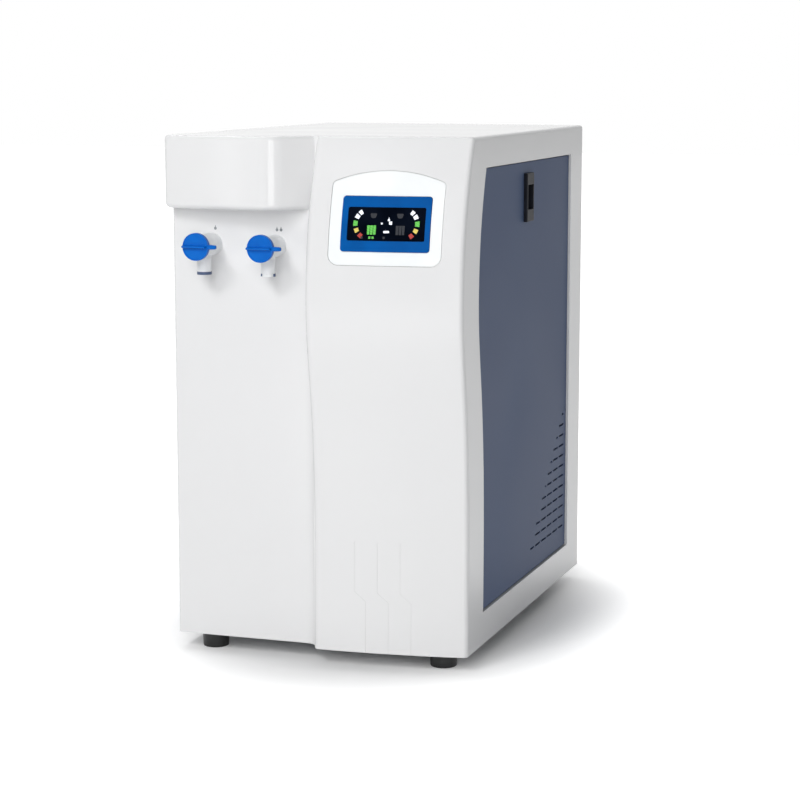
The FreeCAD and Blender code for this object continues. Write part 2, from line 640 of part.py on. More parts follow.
def cabinet_shell():
    """One bent skin for the top and both sides, with a stiffening ring round each side opening."""
    half, wall, over = size("half_width"), size("wall"), size("overrun")
    front, rear = size("front_y") - size("belly") * 2, size("rear_y")
    outer = block(-half, half, front, rear, size("foot_high"), size("body_top"))
    long_edges = [edge for edge in outer.Edges if edge.BoundBox.YLength > wall
                  and edge.CenterOfMass.z > size("body_top") - wall]
    outer = outer.makeFillet(size("top_radius"), long_edges)
    inner = block(wall - half, half - wall, front - over, rear + over,
                  size("foot_high") - over, size("body_top") - wall)
    shape = outer.cut(inner)
    gap, grow = size("side_gap"), size("side_gap") + size("ring_wide")
    ring = side_outline(grow, size("ring_in"), half - wall)
    ring = ring.cut(side_outline(gap, size("face_in") - size("seat_gap"), half))
    ring = ring.cut(side_outline(-size("ledge_wide"), size("ring_in") - over, half, size("ledge_start")
                                 - size("ledge_wide")))
    low = side_outline(gap, size("ring_in") - over, half)
    low = low.common(block(0, half, -size("body_width") * 2, size("body_width") * 2, 0,
                           size("side_bottom") + size("ledge_start")))
    ring = ring.cut(low).cut(magnet_block(size("press_gap")))
    opening = side_outline(gap, half - wall * 2, half + over)
    pins = side_pins(size("pin_radius") + size("running_fit"))
    mirror = V(1, 0, 0)
    rings = [ring, ring.mirror(V(0, 0, 0), mirror)]
    cuts = [opening, opening.mirror(V(0, 0, 0), mirror)]
    cuts += pins + [pin.mirror(V(0, 0, 0), mirror) for pin in pins]
    boss, deep = size("boss_side"), size("boss_deep")
    y1 = rear - size("rear_thick")
    for side in (-1, 1):
        x = side * (half - wall)
        for z0 in (size("base_top + base_flange") + wall, size("body_top") - wall - boss):
            rings.append(block(min(x, x - side * boss), max(x, x - side * boss), y1 - deep, y1,
                               z0, z0 + boss))
    shape = shape.fuse(rings).common(back_region(size("part_gap")))
    shape = shape.cut(cuts)
    for x, z in rear_screw_places():
        shape = shape.cut(Part.makeCylinder(size("screw_radius"), deep + over, V(x, y1 - deep - over, z),
                                            V(0, 1, 0)))
    return shape.removeSplitter()


def rear_screw_places():
    side = size("inner_half") - size("boss_side") / 2
    heights = (size("base_top + base_flange") + size("wall") + size("boss_side") / 2,
               size("body_top") - size("wall") - size("boss_side") / 2)
    return [(x, z) for x in (-side, side) for z in heights]


def louvres():
    """Rows of short slots whose front ends rise on a slant towards the rear."""
    slots = []
    rear = size("rear_y - louvre_rear_back")
    run = size("louvre_start_back - louvre_rear_back")
    rows = int(run / size("louvre_pitch")) + 1
    x0, x1 = size("face_in") - size("overrun"), size("face_out") + size("overrun")
    for number in range(rows):
        z = size("louvre_bottom") + number * size("louvre_pitch")
        start = size("rear_y - louvre_start_back") + number * size("louvre_pitch")
        end = rear
        while end - start > size("louvre_high") * 2:
            low = max(start, end - size("louvre_long"))
            slots.append(block(x0, x1, low, end, z, z + size("louvre_high")))
            end -= size("louvre_space")
    return slots


def pull_box(grow):
    rim = size("pull_box_rim") - grow
    y0 = size("rear_y - pull_front_back") + rim
    y1 = y0 + size("pull_wide") - 2 * rim
    z0 = size("pull_bottom") + rim * 2
    z1 = size("pull_bottom") + size("pull_high") - rim * 2
    return y0, y1, z0, z1


def side_panel():
    shape = side_outline(0, size("face_in"), size("face_out"))
    shape = shape.cut(louvres())
    y0, y1, z0, z1 = pull_box(size("part_gap"))
    over = size("overrun")
    shape = shape.cut(block(size("face_in") - over, size("face_out") + over, y0, y1, z0, z1))
    strike = strike_plate(size("press_gap"))
    return shape.cut(strike).fuse(side_pins(size("pin_radius"))).removeSplitter()


def strike_plate(grow=0):
    """The steel plate let into the inner face of a service panel, opposite the magnet."""
    zone = magnet_block(0).BoundBox
    x = size("face_in")
    top = size("side_top") - size("strike_margin")
    return block(x - grow, x + size("strike_thick") + grow, zone.YMin - grow, zone.YMax + grow,
                 zone.ZMin - grow, top)


def finger_pull():
    """A moulded block with a finger pocket, clipped through the service panel."""
    y0, y1, z0, z1 = pull_box(0)
    edge = size("rear_y - pull_front_back")
    out = size("face_out") + size("pull_stand")
    deep = size("face_out") - size("pull_deep")
    shape = block(size("face_out"), out, edge, edge + size("pull_wide"), size("pull_bottom"),
                  size("pull_bottom + pull_high"))
    corners = [item for item in shape.Edges if item.BoundBox.XMin > out - size("part_gap")]
    shape = shape.makeFillet(size("pull_round"), corners)
    shape = shape.fuse(block(deep, size("face_out"), y0, y1, z0, z1))
    wall = size("pull_wall")
    pocket = block(deep + wall, out + size("overrun"), y0 + wall, y1 - wall, size("slot_bottom"),
                   size("slot_bottom + slot_high"))
    return shape.cut(pocket).removeSplitter()


def both_sides(label, shape):
    """The same piece on the right side and mirrored on the left."""
    keep(label + "_right", solid(shape))
    keep(label + "_left", solid(shape.mirror(V(0, 0, 0), V(1, 0, 0))))


# Front, cabinet and service panels
keep("front_cover", solid(front_cover()))
keep("cabinet_shell", solid(cabinet_shell()))
both_sides("side_panel", side_panel())
both_sides("side_pull", finger_pull())
both_sides("strike_plate", strike_plate())
magnet = magnet_block(0)
keep("catch_magnets", solid(Part.makeCompound([magnet, magnet.mirror(V(0, 0, 0), V(1, 0, 0))])))

# Display
keep("display_surround", solid(skin(surround_outline(0), size("surround_sink"),
                                    size("surround_sink + surround_thick"))
                               .cut(upright_prism(bezel_outline(size("seat_gap"))))))
keep("display_bezel", solid(skin(bezel_outline(0), -size("bezel_stand"),
                                 size("bezel_thick - bezel_stand"))
                            .cut(upright_prism(window_outline(size("seat_gap") / 2)))))
keep("display_window", solid(skin(window_outline(0), 0, size("window_thick"))))


def display_frame():
    """Lower front corner of the display module and its directions: across, inward and up."""
    wide, high = size("module_wide"), size("module_high")
    middle = V(size("bezel_left + bezel_right") / 2, 0, size("bezel_bottom") + size("bezel_high") / 2)
    deep = V(0, size("bezel_thick - bezel_stand + module_gap"), 0)

    def seat(side, rise):
        return face_at(middle.x + side * wide / 2, middle.z + rise * high / 2) + deep

    across = (seat(1, 0) - seat(-1, 0)).normalize()
    inward = (seat(0, 1) - seat(0, -1)).cross(across).normalize()
    up = across.cross(inward)
    centre = seat(0, 0)
    furthest = max((seat(side, rise) - centre).dot(inward) for side in (-1, 1) for rise in (-1, 1))
    return centre + inward * furthest - across * (wide / 2) - up * (high / 2), across, inward, up


def on_display(xs, depths, heights):
    """A box in the display's own frame, which lies along the face behind the bezel."""
    obj = doc.addObject("Part::Box", "plate")
    for name, (low, high) in zip(("Length", "Width", "Height"), (xs, depths, heights)):
        obj.setExpression(name, spell("(%s) - (%s)" % (high, low)))
    corner, across, inward, up = display_frame()
    spot = corner + across * size(xs[0]) + inward * size(depths[0]) + up * size(heights[0])
    obj.Placement = FreeCAD.Placement(spot, FreeCAD.Rotation(across, inward, up, "XYZ"))
    return obj


keep("display_module", on_display(("0", "module_wide"), ("0", "module_thick"), ("0", "module_high")))
board_x = ("module_wide / 2 - board_wide / 2", "module_wide / 2 + board_wide / 2")
board_z = ("module_high / 2 - board_high / 2", "module_high / 2 + board_high / 2")
board_depth = ("module_thick + board_post", "module_thick + board_post + board_thick")
posts = [on_display((x, x + " + board_post_side"), ("module_thick", board_depth[0]),
                    (z, z + " + board_post_side"))
         for x in ("board_post_side", "module_wide - board_post_side * 2")
         for z in ("0", "module_high - board_post_side")]
keep("display_board", join(on_display(board_x, board_depth, board_z), *posts))

# Taps
collars, seals, tap_nuts = [], [], []
for side in ("left", "right"):
    x = "-tap_" + side
    y = "recess_y"
    barrel = rod("y", "tap_barrel_radius", (x, "tap_level"), ("recess_y - tap_barrel_out", y))
    tail = rod("y", "tap_thread_radius", (x, "tap_level"), (y, "recess_y + tap_tail"))
    spout = rod("z", "nozzle_radius", (x, "nozzle_y"), ("nozzle_bottom", "tap_level"))
    tip = rod("z", "nozzle_radius - tip_step", (x, "nozzle_y"),
              ("nozzle_bottom - collar_high", "nozzle_bottom"))
    bore = rod("z", "nozzle_bore", (x, "nozzle_y"),
               ("nozzle_bottom - collar_high - overrun", "tap_level"))
    stem_bore = rod("y", "stem_radius + running_fit", (x, "tap_level"),
                    ("recess_y - tap_barrel_out - overrun", "nozzle_y"))
    ball_room = rod("y", "stem_ball + seat_gap", (x, "tap_level"),
                    ("nozzle_y - stem_ball", "nozzle_y + stem_ball + seat_gap"))
    feed = rod("y", "tube_radius + running_fit", (x, "tap_level"),
               ("nozzle_y", "recess_y + tap_tail + overrun"))
    seal_room = rod("y", "stem_radius + seal_section * 2", (x, "tap_level"),
                    ("nozzle_y - stem_ball - seal_section * 3", "nozzle_y - stem_ball - seal_section"))
    keep("tap_body_" + side, less(join(barrel, tail, spout, tip), bore, stem_bore, ball_room, feed,
                                  seal_room))
    ring = rod("z", "collar_radius", (x, "nozzle_y"), ("nozzle_bottom - collar_high", "nozzle_bottom"))
    around = ("nozzle_bottom - collar_high - overrun", "nozzle_bottom + overrun")
    cuts = [rod("z", "nozzle_radius - tip_step + press_gap", (x, "nozzle_y"), around)]
    if side == "right":
        wide = (x + " - collar_radius - overrun", x + " + collar_radius + overrun")
        cuts += [box(wide, ("nozzle_y + lug_space / 2", "nozzle_y + collar_radius + overrun"), around),
                 box(wide, ("nozzle_y - collar_radius - overrun", "nozzle_y - lug_space / 2"), around)]
    collars.append(less(ring, *cuts))
    rod_part = rod("y", "stem_radius", (x, "tap_level"), ("knob_back_y - knob_thick / 2", "nozzle_y"))
    ball = rod("y", "stem_ball", (x, "tap_level"),
               ("nozzle_y - stem_ball + seat_gap", "nozzle_y + stem_ball"))
    way = rod("z", "nozzle_bore", (x, "nozzle_y"), ("tap_level - stem_ball * 2", "tap_level"))
    keep("tap_stem_" + side, less(join(rod_part, ball), way))
    seal = less(rod("y", "stem_radius + seal_section * 2 - press_gap", (x, "tap_level"),
                    ("nozzle_y - stem_ball - seal_section * 3 + press_gap",
                     "nozzle_y - stem_ball - seal_section - press_gap")),
                rod("y", "stem_radius + running_fit", (x, "tap_level"), ("nozzle_y - tap_out", y)))
    seals.append(seal)
    disc = turned([("0", "0"), ("knob_radius - fin_rise / 2", "0"), ("knob_radius", "fin_rise / 2"),
                   ("knob_radius", "knob_thick"), ("0", "knob_thick")], "y", x,
                  "knob_back_y - knob_thick", "tap_level")
    fin = box((x + " - fin_short", x + " + fin_long - fin_thick / 2"),
              ("knob_back_y - knob_thick - fin_rise", "knob_back_y - running_fit"),
              ("tap_level - fin_thick / 2", "tap_level + fin_thick / 2"))
    tip_round = rod("y", "fin_thick / 2", (x + " + fin_long - fin_thick / 2", "tap_level"),
                    ("knob_back_y - knob_thick - fin_rise", "knob_back_y - running_fit"))
    socket = rod("y", "stem_radius + press_gap", (x, "tap_level"),
                 ("knob_back_y - knob_thick / 2 - part_gap", "knob_back_y + overrun"))
    keep("tap_knob_" + side, less(join(disc, fin, tip_round), socket))
    nut_ring = rod("y", "nut_radius", (x, "tap_level"),
                   ("recess_y + wall", "recess_y + wall + nut_thick"))
    nut_run = ("recess_y", "recess_y + tap_tail")
    nut_hole = rod("y", "tap_thread_radius + press_gap", (x, "tap_level"), nut_run)
    nut_heights = ("tap_level - nut_radius", "tap_level + nut_radius")
    flats = [box((x + " + nut_flat", x + " + nut_radius * 2"), nut_run, nut_heights),
             box((x + " - nut_radius * 2", x + " - nut_flat"), nut_run, nut_heights)]
    tap_nuts.append(less(nut_ring, nut_hole, *flats))
keep("nozzle_collars", group(*collars))
keep("tap_seals", group(*seals))

# Feet, their screws and the base plate
feet, foot_screws, foot_nuts, foot_holes = [], [], [], []
for x in ("-foot_side", "foot_side"):
    for back in ("foot_front_back", "foot_rear_back"):
        spot = (x, "rear_y - " + back)
        cone = rod("z", "foot_radius - foot_taper", spot, ("0", "foot_high"), "foot_radius")
        recess_hole = rod("z", "foot_recess", spot, ("-overrun", "foot_recess_high"))
        shaft_hole = rod("z", "screw_radius + press_gap", spot, ("0", "foot_high + overrun"))
        feet.append(less(cone, recess_hole, shaft_hole))
        shank = rod("z", "screw_radius", spot, ("foot_recess_high", "base_top + base_thick * 2"))
        head = rod("z", "screw_head", spot, ("foot_recess_high - screw_head_high", "foot_recess_high"))
        foot_screws.append(join(shank, head))
        nut = rod("z", "screw_head", spot, ("base_top", "base_top + bolt_nut_high"))
        nut_bore = rod("z", "screw_radius + press_gap", spot, ("foot_high", "base_top + base_flange"))
        foot_nuts.append(less(nut, nut_bore))
        foot_holes.append(rod("z", "screw_radius + press_gap", spot,
                              ("foot_high - overrun", "base_top + overrun")))
keep("feet", group(*feet))
keep("foot_bolts", group(*foot_screws, *foot_nuts))
edge, rim_top = "inner_half - rear_edge", "base_top + base_flange"
tray = slab("XZ_Plane", [("-(%s)" % edge, "foot_high"), (edge, "foot_high"), (edge, rim_top),
                         (edge + " - base_thick", rim_top), (edge + " - base_thick", "base_top"),
                         ("base_thick - (%s)" % edge, "base_top"),
                         ("base_thick - (%s)" % edge, rim_top), ("-(%s)" % edge, rim_top)],
            "base_y", "rear_y - rear_thick - rear_edge")
keep("base_plate", less(tray, *foot_holes))

# Rear panel with its openings
plate = slab("XZ_Plane", [("-(%s)" % edge, "foot_high + rear_edge"), (edge, "foot_high + rear_edge"),
                          (edge, "body_top - wall - rear_edge"),
                          ("-(%s)" % edge, "body_top - wall - rear_edge")],
             "rear_y - rear_thick", "rear_y")
through = ("rear_y - rear_thick - overrun", "rear_y + overrun")
openings = []
for x, z in rear_screw_places():
    hole = doc.addObject("Part::Cylinder", "hole")
    hole.setExpression("Radius", spell("screw_radius + press_gap"))
    hole.setExpression("Height", spell("rear_thick + overrun * 2"))
    hole.Placement = FreeCAD.Placement(V(x, size(through[0]), z), TURNS["y"])
    openings.append(hole)
ports = ["port_pitch * %d - port_first" % number for number in range(3)]
for x in ports:
    openings.append(rod("y", "port_shank_radius + seat_gap", (x, "port_level"), through))
openings.append(box(("inlet_left + inlet_rim - seat_gap", "inlet_left + inlet_wide - inlet_rim + seat_gap"),
                    through, ("inlet_bottom + inlet_rim - seat_gap",
                              "inlet_bottom + inlet_high - inlet_rim + seat_gap")))
openings.append(box(("switch_x - switch_wide / 2 + switch_rim - seat_gap",
                     "switch_x + switch_wide / 2 - switch_rim + seat_gap"), through,
                    ("switch_level - switch_high / 2 + switch_rim - seat_gap",
                     "switch_level + switch_high / 2 - switch_rim + seat_gap")))
slot_pitch = "(grille_bar + grille_slot)"
for number in range(-3, 4):
    level = "fan_level + %s * %d" % (slot_pitch, number)
    reach = "sqrt(fan_bore ^ 2 - (%s * %d) ^ 2) - grille_slot / 2" % (slot_pitch, number)
    openings.append(box(("fan_x - " + reach, "fan_x + " + reach), through,
                        (level + " - grille_slot / 2", level + " + grille_slot / 2")))
for number in range(9):
    level = "fan_level - vent_drop + %s * %d" % (slot_pitch, number)
    openings.append(box(("-port_first", "-port_first + fan_side"), through,
                        (level + " - vent_slot / 2", level + " + vent_slot / 2")))
keep("rear_panel", less(plate, *openings))
screws = []
for x, z in rear_screw_places():
    shank = Part.makeCylinder(size("screw_radius") - size("press_gap"), size("boss_deep"),
                              V(x, size("rear_y - boss_deep"), z), V(0, 1, 0))
    head = Part.makeCylinder(size("screw_head"), size("screw_head_high"), V(x, size("rear_y"), z),
                             V(0, 1, 0))
    screws.append(shank.fuse(head))
keep("rear_screws", solid(Part.makeCompound(screws)))

# Rear tube ports with push-in collets
bodies, nuts = [], []
for number, x in enumerate(ports, start=1):
    flange = rod("y", "port_flange_radius", (x, "port_level"), ("rear_y", "rear_y + port_flange_out"))
    shank = rod("y", "port_shank_radius", (x, "port_level"), ("rear_y - port_shank_in", "rear_y"))
    bore = rod("y", "port_bore", (x, "port_level"),
               ("rear_y - port_shank_in - overrun", "rear_y + port_out"))
    seat = rod("y", "collet_radius + running_fit", (x, "port_level"),
               ("rear_y - collet_seat - collet_travel", "rear_y + port_out"))
    bodies.append(less(join(flange, shank), bore, seat))
    nut = rod("y", "port_flange_radius + wall", (x, "port_level"),
              ("rear_y - rear_thick - nut_thick", "rear_y - rear_thick"))
    nuts.append(less(nut, rod("y", "port_shank_radius + press_gap", (x, "port_level"),
                              ("rear_y - port_shank_in", "rear_y"))))
    sleeve = rod("y", "collet_radius", (x, "port_level"), ("rear_y - collet_seat", "rear_y + port_out"))
    lip = rod("y", "collet_flange_radius", (x, "port_level"),
              ("rear_y + port_flange_out + collet_travel", "rear_y + port_out"))
    keep("port_collet_%d" % number,
         less(join(sleeve, lip), rod("y", "port_bore", (x, "port_level"),
                                     ("rear_y - port_shank_in", "rear_y + port_out + overrun"))))
keep("port_bodies", group(*bodies))
keep("bulkhead_nuts", group(*nuts, *tap_nuts))

# Fan: frame with a spoked base, and its rotor
fan_y = ("rear_y - rear_thick - fan_deep", "rear_y - rear_thick")
frame = box(("fan_x - fan_side / 2", "fan_x + fan_side / 2"), fan_y,
            ("fan_level - fan_side / 2", "fan_level + fan_side / 2"))
well = rod("y", "fan_bore", ("fan_x", "fan_level"), (fan_y[0] + " - overrun", fan_y[1] + " + overrun"))
hub_base = rod("y", "fan_hub", ("fan_x", "fan_level"), (fan_y[0], fan_y[0] + " + fan_base"))
spokes = [box(("fan_x - fan_side / 2", "fan_x + fan_side / 2"), (fan_y[0], fan_y[0] + " + fan_base"),
              ("fan_level - fan_strut / 2", "fan_level + fan_strut / 2")),
          box(("fan_x - fan_strut / 2", "fan_x + fan_strut / 2"), (fan_y[0], fan_y[0] + " + fan_base"),
              ("fan_level - fan_side / 2", "fan_level + fan_side / 2"))]
bearing = rod("y", "fan_shaft + running_fit", ("fan_x", "fan_level"),
              (fan_y[0] + " - overrun", fan_y[0] + " + fan_base + overrun"))
keep("fan_frame", less(join(less(frame, well), hub_base, *spokes), bearing))


def fan_rotor():
    """A hub with pitched blades on a short shaft."""
    x, z, y0 = size("fan_x"), size("fan_level"), size(fan_y[0])
    start = y0 + size("fan_base") + size("overrun") / 2
    deep = size("fan_deep") - size("fan_base") - size("overrun")
    shape = Part.makeCylinder(size("fan_hub"), deep, V(x, start, z), V(0, 1, 0))
    shaft = Part.makeCylinder(size("fan_shaft"), deep, V(x, y0, z), V(0, 1, 0))
    reach = size("fan_bore") - size("fan_tip_gap") - size("fan_hub") / 2
    blades = []
    thick, wide = size("fan_blade"), size("blade_deep")
    for number in range(FAN_BLADES):
        blade = block(-thick / 2, thick / 2, -wide / 2, wide / 2, 0, reach)
        blade.rotate(V(0, 0, 0), V(0, 0, 1), BLADE_PITCH)
        blade.translate(V(x, start + deep / 2, z + size("fan_hub") / 2))
        blade.rotate(V(x, 0, z), V(0, 1, 0), number * 360 / FAN_BLADES)
        blades.append(blade)
    return shape.fuse([shaft] + blades).removeSplitter()


keep("fan_rotor", solid(fan_rotor()))

# Power inlet with its fuse drawer, and the rocker switch
flange = box(("inlet_left", "inlet_left + inlet_wide"), ("rear_y", "rear_y + inlet_flange"),
             ("inlet_bottom", "inlet_bottom + inlet_high"))
can = box(("inlet_left + inlet_rim", "inlet_left + inlet_wide - inlet_rim"),
          ("rear_y - inlet_deep", "rear_y"),
          ("inlet_bottom + inlet_rim", "inlet_bottom + inlet_high - inlet_rim"))
mouth = box(("inlet_x - socket_wide / 2", "inlet_x + socket_wide / 2"),
            ("rear_y + inlet_flange - socket_deep", "rear_y + inlet_flange + overrun"),
            ("socket_z - socket_high / 2", "socket_z + socket_high / 2"))
drawer_room = box(("inlet_x - drawer_wide / 2 - seat_gap", "inlet_x + drawer_wide / 2 + seat_gap"),
                  ("rear_y + inlet_flange - drawer_deep - seat_gap", "rear_y + inlet_flange + overrun"),
                  ("drawer_z - drawer_high / 2 - seat_gap", "drawer_z + drawer_high / 2 + seat_gap"))
blades = [box(("inlet_x + blade_space * %d - blade_pin" % number,
               "inlet_x + blade_space * %d + blade_pin" % number),
              ("rear_y + inlet_flange - socket_deep - overrun",
               "rear_y + inlet_flange - socket_deep + blade_long"),
              ("socket_z - blade_high / 2", "socket_z + blade_high / 2")) for number in (-1, 0, 1)]
keep("power_inlet", join(less(join(flange, can), mouth, drawer_room), *blades))
tray_box = box(("inlet_x - drawer_wide / 2", "inlet_x + drawer_wide / 2"),
               ("rear_y + inlet_flange - drawer_deep", "rear_y + inlet_flange"),
               ("drawer_z - drawer_high / 2", "drawer_z + drawer_high / 2"))
hollow = box(("inlet_x - drawer_wide / 2 + drawer_face", "inlet_x + drawer_wide / 2 - drawer_face"),
             ("rear_y + inlet_flange - drawer_deep + drawer_face", "rear_y + inlet_flange - drawer_face"),
             ("drawer_z - drawer_high / 2 + drawer_face", "drawer_z + drawer_high"))
lip = box(("inlet_x - drawer_wide / 2 - drawer_face", "inlet_x + drawer_wide / 2 + drawer_face"),
          ("rear_y + inlet_flange", "rear_y + inlet_flange + drawer_lip"),
          ("drawer_z - drawer_high / 2 - drawer_face", "drawer_z + drawer_high / 2 + drawer_face"))
keep("fuse_drawer", less(join(tray_box, lip), hollow))
rim = box(("switch_x - switch_wide / 2", "switch_x + switch_wide / 2"), ("rear_y", "rear_y + inlet_flange"),
          ("switch_level - switch_high / 2", "switch_level + switch_high / 2"))
can = box(("switch_x - switch_wide / 2 + switch_rim", "switch_x + switch_wide / 2 - switch_rim"),
          ("rear_y - switch_deep", "rear_y"),
          ("switch_level - switch_high / 2 + switch_rim", "switch_level + switch_high / 2 - switch_rim"))
room = box(("switch_x - rocker_wide / 2 - seat_gap", "switch_x + rocker_wide / 2 + seat_gap"),
           ("rear_y - rocker_root - overrun", "rear_y + inlet_flange + overrun"),
           ("switch_level - rocker_high / 2 - rocker_room", "switch_level + rocker_high / 2 + rocker_room"))
pivot = rod("x", "pin_radius + running_fit", ("rear_y", "switch_level"),
            ("switch_x - switch_wide / 2 + switch_rim / 2", "switch_x + switch_wide / 2 - switch_rim / 2"))
keep("switch_body", less(join(rim, can), room, pivot))
rocker = slab("YZ_Plane", [("-rocker_root", "-rocker_high / 2 + rocker_room"),
                           ("-rocker_root", "rocker_high / 2 - rocker_room"),
                           ("rocker_rise", "rocker_high / 2"), ("rocker_dip", "0"),
                           ("rocker_rise", "-rocker_high / 2")],
              "-rocker_wide / 2", "rocker_wide / 2")
rocker.Placement = FreeCAD.Placement(V(0, 0, 0), FreeCAD.Rotation(V(1, 0, 0), -size("rocker_tilt")))
place(rocker, "switch_x", "rear_y", "switch_level")
pin = rod("x", "pin_radius", ("rear_y", "switch_level"),
          ("switch_x - rocker_wide / 2 - rocker_pin_out", "switch_x + rocker_wide / 2 + rocker_pin_out"))
keep("switch_rocker", join(rocker, pin))

# Centre partition: a folded sheet that carries the heads, vessel, lamp and electronics
half_sheet = "partition_thick / 2"
fold = slab("XZ_Plane", [("-" + half_sheet, "base_top"), ("partition_foot", "base_top"),
                         ("partition_foot", "base_top + partition_thick"),
                         (half_sheet, "base_top + partition_thick"), (half_sheet, "partition_top"),
                         ("-" + half_sheet, "partition_top")],
            "rear_y - partition_front_back", "rear_y - partition_rear_back")
pass_hole = rod("x", "port_flange_radius", ("rear_y - lamp_back", "vessel_bottom - cradle_thick"),
                ("-overrun", "overrun"))
keep("centre_partition", less(fold, pass_hole))

# Cartridges with their heads: each turns a quarter turn to lock
for label, sign, back in (("prefilter", "-1 * ", "prefilter_back"), ("polisher", "", "polisher_back")):
    x, y = sign + "cartridge_x", "rear_y - " + back
    can = turned([("0", "cartridge_bottom"), ("cartridge_radius - wall", "cartridge_bottom"),
                  ("cartridge_radius", "cartridge_bottom + wall"),
                  ("cartridge_radius", "cartridge_top - neck_radius"),
                  ("neck_radius + wall", "cartridge_top"), ("neck_radius", "cartridge_top"),
                  ("neck_radius", "neck_top"), ("0", "neck_top")], "z", x, y, "0")
    lugs = box((x + " - lug_radius + running_fit", x + " + lug_radius - running_fit"),
               (y + " - lug_wide / 2", y + " + lug_wide / 2"),
               ("cartridge_top + lug_rise", "cartridge_top + lug_rise + lug_high"))
    keep(label + "_cartridge", join(can, lugs))
    cup = rod("z", "head_radius", (x, y), ("head_bottom", "head_top"))
    reach = ("-cartridge_x", "-(%s)" % half_sheet) if sign else (half_sheet, "cartridge_x")
    arm = box(reach, (y + " - bracket_wide / 2", y + " + bracket_wide / 2"),
              ("head_top - bracket_high", "head_top"))
    stubs = [rod("z", "stub_radius", (x + " + stub_side * %d" % way, y), ("head_top", "stub_top"))
             for way in (-1, 1)]
    neck_room = rod("z", "neck_radius + running_fit", (x, y),
                    ("head_bottom - overrun", "neck_top + seat_gap"))
    lug_room = rod("z", "sqrt(lug_radius ^ 2 + (lug_wide / 2) ^ 2) + seat_gap", (x, y),
                   ("cartridge_top + lug_rise - seat_gap",
                    "cartridge_top + lug_rise + lug_high + seat_gap"))
    stub_bores = [rod("z", "tube_radius + press_gap", (x + " + stub_side * %d" % way, y),
                      ("stub_top - stub_high", "stub_top + overrun")) for way in (-1, 1)]
    keep(label + "_head", less(join(cup, arm, *stubs), neck_room, lug_room, *stub_bores))

# Reverse osmosis vessel, its element and the clips that hold it to the partition
vessel_spot = ("-vessel_x", "vessel_y")
tube = rod("z", "vessel_radius", vessel_spot, ("vessel_bottom", "vessel_top"))
caps = [rod("z", "vessel_radius + wall", vessel_spot, ("vessel_bottom", "vessel_bottom + vessel_cap")),
        rod("z", "vessel_radius + wall", vessel_spot, ("vessel_top - vessel_cap", "vessel_top"))]
port = rod("z", "stub_radius", vessel_spot, ("vessel_top", "vessel_top + stub_high"))
room = rod("z", "vessel_radius - vessel_wall", vessel_spot,
           ("vessel_bottom + vessel_wall", "vessel_top - vessel_wall"))
port_bore = rod("z", "tube_radius + press_gap", vessel_spot, ("vessel_top", "vessel_top + stub_high * 2"))
keep("membrane_vessel", less(join(tube, port, *caps), room, port_bore))
keep("membrane_element", rod("z", "vessel_radius - vessel_wall - element_gap", vessel_spot,
                             ("vessel_bottom + vessel_wall", "vessel_top - vessel_wall * 2")))


def clips(x, y, radius, sheet_face, sign):
    """Two closed clips round an upright tube, each with an arm to the partition."""
    made = []
    for number in range(2):
        z0 = "clip_low + clip_rise * %d" % number
        z1 = z0 + " + clip_high"
        ring = rod("z", radius + " + seat_gap + clip_wall", (x, y), (z0, z1))
        reach = (x, sheet_face) if sign < 0 else (sheet_face, x)
        arm = box(reach, (y + " - clip_high / 2", y + " + clip_high / 2"), (z0, z1))
        made.append(less(join(ring, arm), rod("z", radius + " + seat_gap", (x, y),
                                              (z0 + " - overrun", z1 + " + overrun"))))
    return made


tube_clips = clips("-vessel_x", "vessel_y", "vessel_radius", "-(%s)" % half_sheet, -1)

# Ultraviolet reactor and its lamp
lamp_spot = ("lamp_x", "lamp_y")
can = rod("z", "lamp_radius", lamp_spot, ("lamp_bottom", "lamp_top"))
caps = [rod("z", "lamp_radius + lamp_wall", lamp_spot, ("lamp_bottom", "lamp_bottom + lamp_cap")),
        rod("z", "lamp_radius + lamp_wall", lamp_spot, ("lamp_top - lamp_cap", "lamp_top"))]
port = rod("z", "stub_radius", lamp_spot, ("lamp_top", "lamp_top + stub_high"))
room = rod("z", "lamp_radius - lamp_wall", lamp_spot, ("lamp_bottom + lamp_wall", "lamp_top - lamp_wall"))
port_bore = rod("z", "tube_radius + press_gap", lamp_spot, ("lamp_top", "lamp_top + stub_high * 2"))
keep("lamp_housing", less(join(can, port, *caps), room, port_bore))
keep("lamp_tube", rod("z", "lamp_tube", lamp_spot, ("lamp_bottom + lamp_wall", "lamp_top - lamp_cap")))
tube_clips += clips("lamp_x", "lamp_y", "lamp_radius", half_sheet, 1)
keep("tube_clips", group(*tube_clips))

# Pumps in their cradles: feed pump on the left, circulation pump on the right
cradles, motors, heads = [], [], []
for sign in ("-1 * ", ""):
    x = sign + "pump_x"
    motor_end = "rear_y - pump_rear_back"
    motor_start = motor_end + " - pump_motor_long"
    motors.append(rod("y", "pump_radius", (x, "pump_level"), (motor_start, motor_end)))
    head = box((x + " - pump_head_side / 2", x + " + pump_head_side / 2"),
               (motor_start + " - pump_head_long", motor_start),
               ("pump_level - pump_head_side / 2", "pump_level + pump_head_side / 2"))
    outlet = rod("z", "stub_radius", (x, motor_start + " - pump_head_long / 2"),
                 ("pump_level + pump_head_side / 2", "pump_level + pump_head_side / 2 + stub_high"))
    heads.append(join(head, outlet))
    cradle = box((x + " - cradle_wide / 2", x + " + cradle_wide / 2"),
                 (motor_start + " + cradle_thick", motor_start + " + cradle_thick + cradle_long"),
                 ("base_top", "pump_level - pump_radius / 2"))
    bed = rod("y", "pump_radius + seat_gap", (x, "pump_level"), (motor_start, motor_end))
    cradles.append(less(cradle, bed))
keep("pump_motors", group(*motors))
keep("pump_heads", group(*heads))
keep("pump_cradles", group(*cradles))

